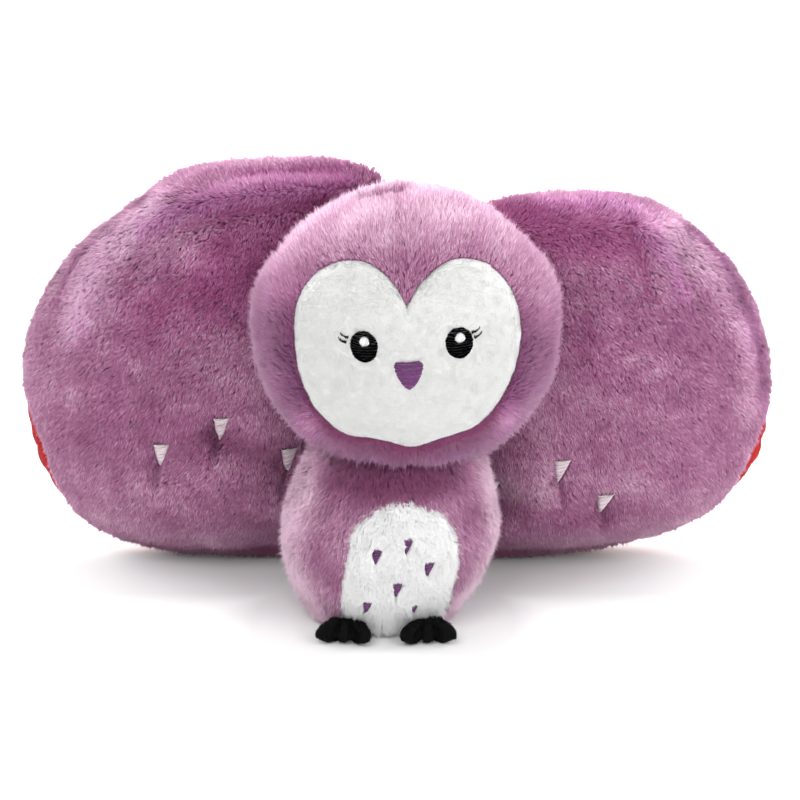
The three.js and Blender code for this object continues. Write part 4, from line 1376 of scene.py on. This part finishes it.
# Wing tones: painted light on the inner part, painted shade in the folds and a painted shadow on the low
# front underside.
ROOT_PAINTED_LIGHT, WING_FOLD_SHADE, UNDER_WING_SHADOW, WING_DEEP_SHARE = 0.06, 0.07, 0.9, 0.15
BACK_TONE, BACK_BROAD_LUMP, BACK_FINE_LUMP = 0.48, 0.16, 0.12


def wing_place(name):
    return Matrix.Translation(
        Vector((HINGES[f"wing_{name}_swing"].x, HINGES[f"wing_{name}_swing"].y, 0))
    ) @ Matrix.Rotation(WINGS[name]["side"] * WING_SWEEP, 4, "Z")


def wing_spot(wing, share):
    return np.array([wing["side"] * share[0] * wing["size"][0], share[1] * wing["size"][1]])


def seam_reach(wing, edge):
    """How far in front of the pillow's middle plane the seam runs at a point of the rim."""
    up = edge[:, 1] / wing["size"][1]
    across = wing["side"] * edge[:, 0] / wing["size"][0]
    top = SEAM_TOP_SETBACK * smoothstep(up, 0.45, 0.95)
    return SEAM_LOW_REACH * bell(up, 0.27, 0.14) * smoothstep(across, 0.6, 0.9) - top


def wing_thickness(wing, ring, x, full):
    crown = np.maximum(1 - ring ** ROUNDNESS, 0) ** FALL
    ease = np.maximum(0, 1 - wing["side"] * x / WING_SWELL)
    return full * crown * (ROOT_SHARE + (1 - ROOT_SHARE) * (1 - ease ** 2))


def tuft_pull(wing, flat):
    """How deep the stitched triangles pull the front in."""
    pull = np.zeros(len(flat))
    for share in wing["mark_shares"]:
        away = flat - wing_spot(wing, share)
        pull += TUFT_DEPTH * np.exp(-((away ** 2).sum(1) / TUFT_REACH ** 2))
    return pull


def folds(wing, flat):
    """Folds that hang from each stitched triangle's tip, the nick at its left and the dip between two."""
    depth = np.zeros(len(flat))
    spots = [wing_spot(wing, share) for share in wing["mark_shares"]]
    for spot in spots:
        x, z = (flat - spot).T
        below = -z - 0.5 * WING_MARK_SIZE[1]
        drift = x + 0.26 * WING_MARK_SIZE[0] - wing["side"] * 0.2 * below
        fade = smoothstep(below, -5 * MM, 2 * MM) * fading(below, 6 * MM, 24 * MM)
        depth += FOLD_DEPTH * bell(drift, 0, FOLD_WIDTH) * fade
        nick = x + 0.5 * WING_MARK_SIZE[0] + 0.12 * (0.5 * WING_MARK_SIZE[1] - z)
        depth += NICK_DEPTH * bell(nick, -0.6 * MM, NICK_WIDTH) * fading(np.abs(z), 5 * MM, 9 * MM)
    for start, end in zip(spots[:-1], spots[1:]):
        along = end - start
        share = np.clip((flat - start) @ along / (along @ along), 0, 1)
        away = np.linalg.norm(flat - start - share[:, None] * along - [0, -6 * MM], axis=1)
        depth += DIP_DEPTH * bell(away, 0, DIP_WIDTH)
    return depth


def near_patches(patches, points, column):
    """The sum over a wing's patches of one of their values, each fading with distance from its line."""
    total = np.zeros(len(points))
    for line, width, *values in patches:
        if values[column]:
            total += values[column] * bell(line_distance(points, line), 0, width * MM)
    return total


def make_wing_skins(name):
    wing = WINGS[name]
    steps, front_rows, back_rows = WING_STEPS, WING_FRONT_ROWS, WING_BACK_ROWS
    rim = through(np.array(wing["outline_shares"]) * wing["size"] * [wing["side"], 1], steps, closed=True)
    if wing["side"] < 0:
        rim = rim[::-1]
    rim = rim - [0, rim[:, 1].min() + FLOOR_CUT]
    centre = wing_spot(wing, wing["centre_share"])
    reach = seam_reach(wing, rim)
    turn = np.linspace(0, math.pi, PROFILE_STEPS)
    ring = np.sin(turn)
    rows = np.empty((front_rows + back_rows, steps, 3))
    for step in range(steps):
        flat = centre + ring[:, None] * (rim[step] - centre)
        back = wing_thickness(wing, ring, flat[:, 0], WING_BACK)
        front = wing_thickness(wing, ring, flat[:, 0], WING_FRONT)
        y = np.where(turn < math.pi / 2, -front, back)
        line = np.column_stack([flat[:, 0], y, flat[:, 1]])
        along = np.concatenate([[0], np.cumsum(np.linalg.norm(np.diff(line, axis=0), axis=1))])
        behind = np.nonzero(y + ring * reach[step] > 0)[0]
        crossing = along[behind[0]]
        stops = np.concatenate([
            np.linspace(0, crossing, front_rows + 1)[1:],
            np.linspace(crossing, along[-1], back_rows + 1)[1:],
        ])
        stops[-1] = 0.5 * (stops[-1] + stops[-2])
        rows[:, step] = np.column_stack([np.interp(stops, along, line[:, axis]) for axis in range(3)])
    points = rows.reshape(-1, 3)
    seam = np.tile(np.arange(front_rows + back_rows)[:, None] - (front_rows - 1), (1, steps)).ravel()
    facing = smoothstep(-points[:, 1], 0, 0.01)
    flat = points[:, [0, 2]]
    points[:, 1] += (tuft_pull(wing, flat) + folds(wing, flat)) * facing * (seam < 0)
    across = np.clip(wing["side"] * points[:, 0] / wing["size"][0], 0, 1)
    low = fading(points[:, 2], 0, LIFT_HIGH)
    tilt = np.clip((LIFT_Y - points[:, 1]) / LIFT_RUN, -0.6, 1)
    points[:, 2] += low * tilt * np.interp(across, *np.array(wing["lift"]).T) * MM
    gap = points[:, 2].reshape(-1, steps).min(0) - rim[:, 1]
    gap = np.tile(gap * fading(rim[:, 1], 0, 0.5 * LIFT_HIGH), front_rows + back_rows)
    points[:, 2] = np.maximum(points[:, 2] - low * gap * smoothstep(seam, -4, 3), 0)
    rows = carried(points, wing_place(name)).reshape(front_rows + back_rows, steps, 3)[::-1]
    piece = closed_skin(f"wing_{name}_pillow", rows[0].mean(0), rows, rows[-1].mean(0))

    def held(points):
        local = carried(points, wing_place(name).inverted())
        near_floor = fading(local[:, 2], 2 * MM, 9 * MM)
        near_root = fading(np.abs(local[:, 0]), 8 * MM, 24 * MM)
        spots = [wing_spot(wing, share) for share in wing["mark_shares"]]
        from_tuft = np.min([np.linalg.norm(local[:, [0, 2]] - spot, axis=1) for spot in spots], axis=0)
        at_tuft = fading(from_tuft, 5 * MM, 8 * MM) * (local[:, 1] < 0)
        return np.max([near_floor, near_root, at_tuft], axis=0)

    settle(piece, held, WING_BILLOW)
    tree = surface_tree(piece)
    patches = [
        (on_surface(tree, wing_place(name), [wing_spot(wing, share) for share in line])[0], *values)
        for line, *values in wing["patches"]
    ]
    seam = np.concatenate([seam.reshape(-1, steps)[::-1].ravel(), [back_rows, -front_rows]])
    around = np.concatenate([np.tile(np.arange(steps), front_rows + back_rows), [0, 0]])

    def shape(points):
        pucker = np.sin(around * 2 * math.pi / steps * PUCKERS + 2 * lumps(points, 60 * MM, 33))
        back = WING_BACK_PUCKER * pucker * bell(seam, 7, 5) + WING_BACK_BUMP * lumps(points, 16 * MM, 35)
        return (
            bumps(points, [(1.4 * MM, 90 * MM, 15 + wing["side"]), (0.35 * MM, 30 * MM, 18)])
            + PUCKER_DEPTH * pucker * bell(np.abs(seam), 5, 4) + MM * near_patches(patches, points, 0)
            + back * (seam > 1)
        ) * smoothstep(points[:, 2], 1 * MM, 14 * MM) - WING_SEAM_PINCH * bell(seam, 0, 1.3)

    sculpt(piece, shape)
    rest_on_floor(piece)
    return *split_pillow(name, piece, seam), patches


def split_pillow(name, pillow, seam):
    """The pillow's front and back cloths, cut along the row of points that is their seam."""
    points = points_of(pillow)
    pieces = {}
    for cloth, wanted in (("plush", seam <= 0), ("velour", seam >= 0)):
        faces = [face.vertices for face in pillow.data.polygons if all(wanted[i] for i in face.vertices)]
        used = np.nonzero(wanted)[0]
        place = np.full(len(points), -1)
        place[used] = np.arange(len(used))
        quads = [[place[i] for i in face] for face in faces if len(face) == 4]
        triangles = [[place[i] for i in face] for face in faces if len(face) == 3]
        pieces[cloth] = mesh_piece(f"wing_{name}_{cloth}", points[used], quads, triangles)
    tree = surface_tree(pillow)
    bpy.data.objects.remove(pillow)
    return pieces["plush"], pieces["velour"], tree


def make_wing(name):
    wing = WINGS[name]
    body = f"wing_{name}"
    place = wing_place(name)
    plush, velour, tree, patches = make_wing_skins(name)
    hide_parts(f"wing_{name}_front", f"wing_{name}_fill")
    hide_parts(f"wing_{name}_back")
    dress(plush, body, "mauve_plush", MAUVE_BACKING)
    dress(velour, body, "red_velour", RED_VELOUR)
    marks = [triangle(wing_spot(wing, share), WING_MARK_SIZE) for share in wing["mark_shares"]]
    for number, mark in enumerate(marks, 1):
        piece = satin(
            f"wing_{name}_stitch_{number}", shrunk(mark, -0.06), tree, place, body, "pale_thread",
            PALE_THREAD, angle=MARK_THREAD_ANGLE, seed=400 + 10 * wing["side"] + number, rise=MARK_RISE,
        )
        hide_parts(f"wing_{name}_mark_{number}")

    def local(points):
        return carried(points, place.inverted())

    def ahead(points):
        return local(points)[:, 1] < 0

    clear = [shrunk(mark, -0.1) for mark in marks]

    # The low front underside near the floor: painted shadow, darker and with more of the shaded copy.
    def underside_shadow(at):
        return smoothstep(at[:, 1], -32 * MM, -12 * MM) * fading(at[:, 2], 7 * MM, 19 * MM)

    def kept(points, normals):
        return ~(near_marks(local(points)[:, [0, 2]], clear, 0) & ahead(points)) & (points[:, 2] > 1.2 * MM)

    def length(points):
        over = near_marks(local(points)[:, [0, 2]], clear, 3.6 * MM) & ahead(points)
        return WING_PILE_LENGTH * (1 - 0.6 * over)

    def comb(points, normals):
        over = smoothstep(local(points)[:, 2] / wing["size"][1], 0.9, 0.965)
        way = np.column_stack([0.5 * wing["side"] + 0 * over, 0.9 * over, 1.2 * over - 1])
        return way @ np.array(place)[:3, :3].T

    def tone(points):
        at = local(points)
        up = at[:, 2] / wing["size"][1]
        across = wing["side"] * at[:, 0] / wing["size"][0]
        return (
            # Lighter on the inner part near the body: painted light where the head shades it.
            wing["tone"] + ROOT_PAINTED_LIGHT * fading(across, 0.3, 0.6) * bell(up, 0.4, 0.4)
            + 0.08 * lumps(points, 45 * MM, 25) + 0.06 * lumps(points, 17 * MM, 27)
            # The patches: painted highlights on ridges and painted shade in creases.
            + near_patches(patches, points, 1)
            # Darker in the folds, nicks and dips: painted shade.
            - WING_FOLD_SHADE / MM * folds(wing, at[:, [0, 2]]) * ahead(points)
            - UNDER_WING_SHADOW * underside_shadow(at)
        )

    # Shares of the shaded and lilac copies: a little everywhere, then by the painted patches and the painted
    # shadow under the low front.
    def dye_and_painted_light(points):
        second = WING_DEEP_SHARE + near_patches(patches, points, 2) + underside_shadow(local(points))
        return second, near_patches(patches, points, 3)

    pile(f"wing_{name}_pile", plush, body, PLUSH, length, comb, tone, kept, 120 + 4 * wing["side"], dye_and_painted_light)

    def back_tone(points):
        broad = BACK_TONE + BACK_BROAD_LUMP * lumps(points, 48 * MM, 34)
        return broad + BACK_FINE_LUMP * lumps(points, 16 * MM, 26)

    pile(
        f"wing_{name}_velour_pile", velour, body, BACK_VELOUR, all_over(VELOUR_PILE_LENGTH),
        lambda p, n: np.tile([0.0, 0.0, -1.0], (len(p), 1)), back_tone,
        lambda p, n: p[:, 2] > 1 * MM, 130 + wing["side"],
    )


# Root tapes

def dress_tapes():
    finish = Finish("root_tape", roughness=0.85, sheen=0.15, sheen_tint=PINK)
    weave = finish.node("ShaderNodeTexWave", {"wave_type": "BANDS", "bands_direction": "Z"}, {
        "Vector": finish.place(), "Scale": 900.0, "Distortion": 1.5, "Detail": 1.0,
    })
    fleck = finish.noise(1.1 * MM, 3.0, 0.7)
    finish.colour((weave * 0.4 + fleck * 0.6).clamped(), (120, 70, 102), (168, 114, 148))
    finish.bump(weave + fleck, 0.25 * MM)
    for name in WINGS:
        node = frame["nodes"][f"wing_{name}_root_tape"]
        node.data.materials.clear()
        node.data.materials.append(finish.material)


# Studio: the lamps, each with its place, size and power in watts, and the camera

LAMPS = {
    "key": ((-0.5, -1.1, 1.3), 0.9, 9.5),
    "fill": ((0.9, -0.9, 0.8), 0.9, 7.5),
    "low": ((0.0, -1.2, 0.25), 0.8, 0.9),
    "left_rim": ((-1.1, 0.55, 0.7), 0.9, 11.5),
    "right_rim": ((1.1, 0.55, 0.7), 0.9, 11.5),
    "top_rim": ((0.0, 0.8, 1.4), 1.0, 22),
}
LAMP_AIM = Vector((0, 0, 0.12))
AIR_LOW, AIR_HIGH, AIR_UP = 0.46, 1.2, (0.0, 0.62, 0.78)
# Away from the owl the floor glows white for the camera; near its wings and body the glow falls to a dim
# grey, a painted darker zone that keeps the cast shadow.
FLOOR_COLOUR, FLOOR_SHADE_GLOW, FLOOR_GLOW = (0.85, 0.85, 0.85), (0.06, 0.06, 0.06), 0.5
WINGS_MIDDLE_Y, WINGS_HALF_DEPTH, WINGS_REACH = 0.06, 0.062, 0.245
BODY_MIDDLE, BODY_REACH = (-0.009, -0.045, 0.0), 0.08
SHADOW_FADE = 16
FLOOR_REACH = 6
CAMERA_DISTANCE, CAMERA_PITCH, CAMERA_AIM = 1.4, math.radians(17.5), 136 * MM
CAMERA_SENSOR, CAMERA_LENS = 36, 104.985


def make_studio():
    sides = ((-1, -1), (1, -1), (1, 1), (-1, 1))
    floor = mesh_piece("floor", [[x * FLOOR_REACH, y * FLOOR_REACH, 0] for x, y in sides], [[0, 1, 2, 3]])
    paper = Finish("floor_paper", roughness=0.9)
    paper.surface.inputs["Base Color"].default_value = (*FLOOR_COLOUR, 1)
    ray = paper.node("ShaderNodeLightPath", {}, {})
    seen = ray.out("Is Camera Ray").maths("MAXIMUM", ray.out("Is Glossy Ray"))
    spot = paper.node("ShaderNodeSeparateXYZ", {}, {0: paper.place()})
    past_tips = spot.out("X").maths("ABSOLUTE") - WINGS_REACH
    past_wings = (spot.out("Y") - WINGS_MIDDLE_Y).maths("ABSOLUTE") - WINGS_HALF_DEPTH
    past_body = paper.node("ShaderNodeVectorMath", {"operation": "DISTANCE"}, {
        0: paper.place(), 1: BODY_MIDDLE,
    }, "Value") - BODY_REACH
    # Dim glow near the wings and body: painted shade round the owl.
    far = (past_tips.maths("MAXIMUM", past_wings).maths("MINIMUM", past_body) * SHADOW_FADE).clamped()
    paper.set("Emission Color", paper.mix(far, FLOOR_SHADE_GLOW, WHITE))
    paper.set("Emission Strength", seen * FLOOR_GLOW)
    floor.data.materials.append(paper.material)
    world = bpy.data.worlds.new("studio")
    bpy.context.scene.world = world
    air = Nodes(world)
    ray = air.node("ShaderNodeLightPath", {}, {})
    ahead = air.node("ShaderNodeVectorMath", {"operation": "DOT_PRODUCT"}, {
        0: air.node("ShaderNodeTexCoord", {}, {}, "Generated"), 1: AIR_UP,
    }, "Value")
    wash = air.node("ShaderNodeMapRange", {}, {
        "Value": ahead, "From Min": -0.6, "From Max": 1.0, "To Min": AIR_LOW, "To Max": AIR_HIGH,
    })
    light = air.node("ShaderNodeMixShader", {}, {
        0: ray.out("Is Camera Ray").maths("MAXIMUM", ray.out("Is Transmission Ray")),
        1: air.node("ShaderNodeBackground", {}, {"Strength": wash}),
        2: air.node("ShaderNodeBackground", {}, {"Color": WHITE}),
    })
    air.links.new(light.socket, air.nodes["World Output"].inputs["Surface"])
    for name, (place, size, power) in LAMPS.items():
        lamp = bpy.data.objects.new(name, bpy.data.lights.new(name, "AREA"))
        lamp.data.size = size
        lamp.data.energy = power
        lamp.location = place
        lamp.rotation_euler = (LAMP_AIM - Vector(place)).to_track_quat("-Z", "Y").to_euler()
        bpy.context.scene.collection.objects.link(lamp)


def make_camera():
    """The photograph's view: a long lens, 1.4 m away, that looks down at the owl."""
    aim = Vector(ORIGIN) + Vector((0, 0, CAMERA_AIM))
    camera = bpy.data.objects.new("camera", bpy.data.cameras.new("camera"))
    back, up = CAMERA_DISTANCE * math.cos(CAMERA_PITCH), CAMERA_DISTANCE * math.sin(CAMERA_PITCH)
    camera.location = aim + Vector((0, -back, up))
    camera.rotation_euler = (math.pi / 2 - CAMERA_PITCH, 0, 0)
    camera.data.sensor_width = CAMERA_SENSOR
    camera.data.lens = CAMERA_LENS
    bpy.context.scene.collection.objects.link(camera)
    bpy.context.scene.camera = camera


make_camera()
make_studio()
bpy.context.scene.view_settings.view_transform = "Standard"

body_skin = make_body_skin()
body_tree = surface_tree(body_skin)
belly = make_belly(body_tree)
make_belly_marks(body_tree)
make_body_piles(body_skin, belly)
make_foot("left")
make_foot("right")
head_skin = make_head_skin()
face = make_face(surface_tree(head_skin))
make_face_stitching(surface_tree(face))
make_head_piles(head_skin, face)
make_wing("left")
make_wing("right")
dress_tapes()
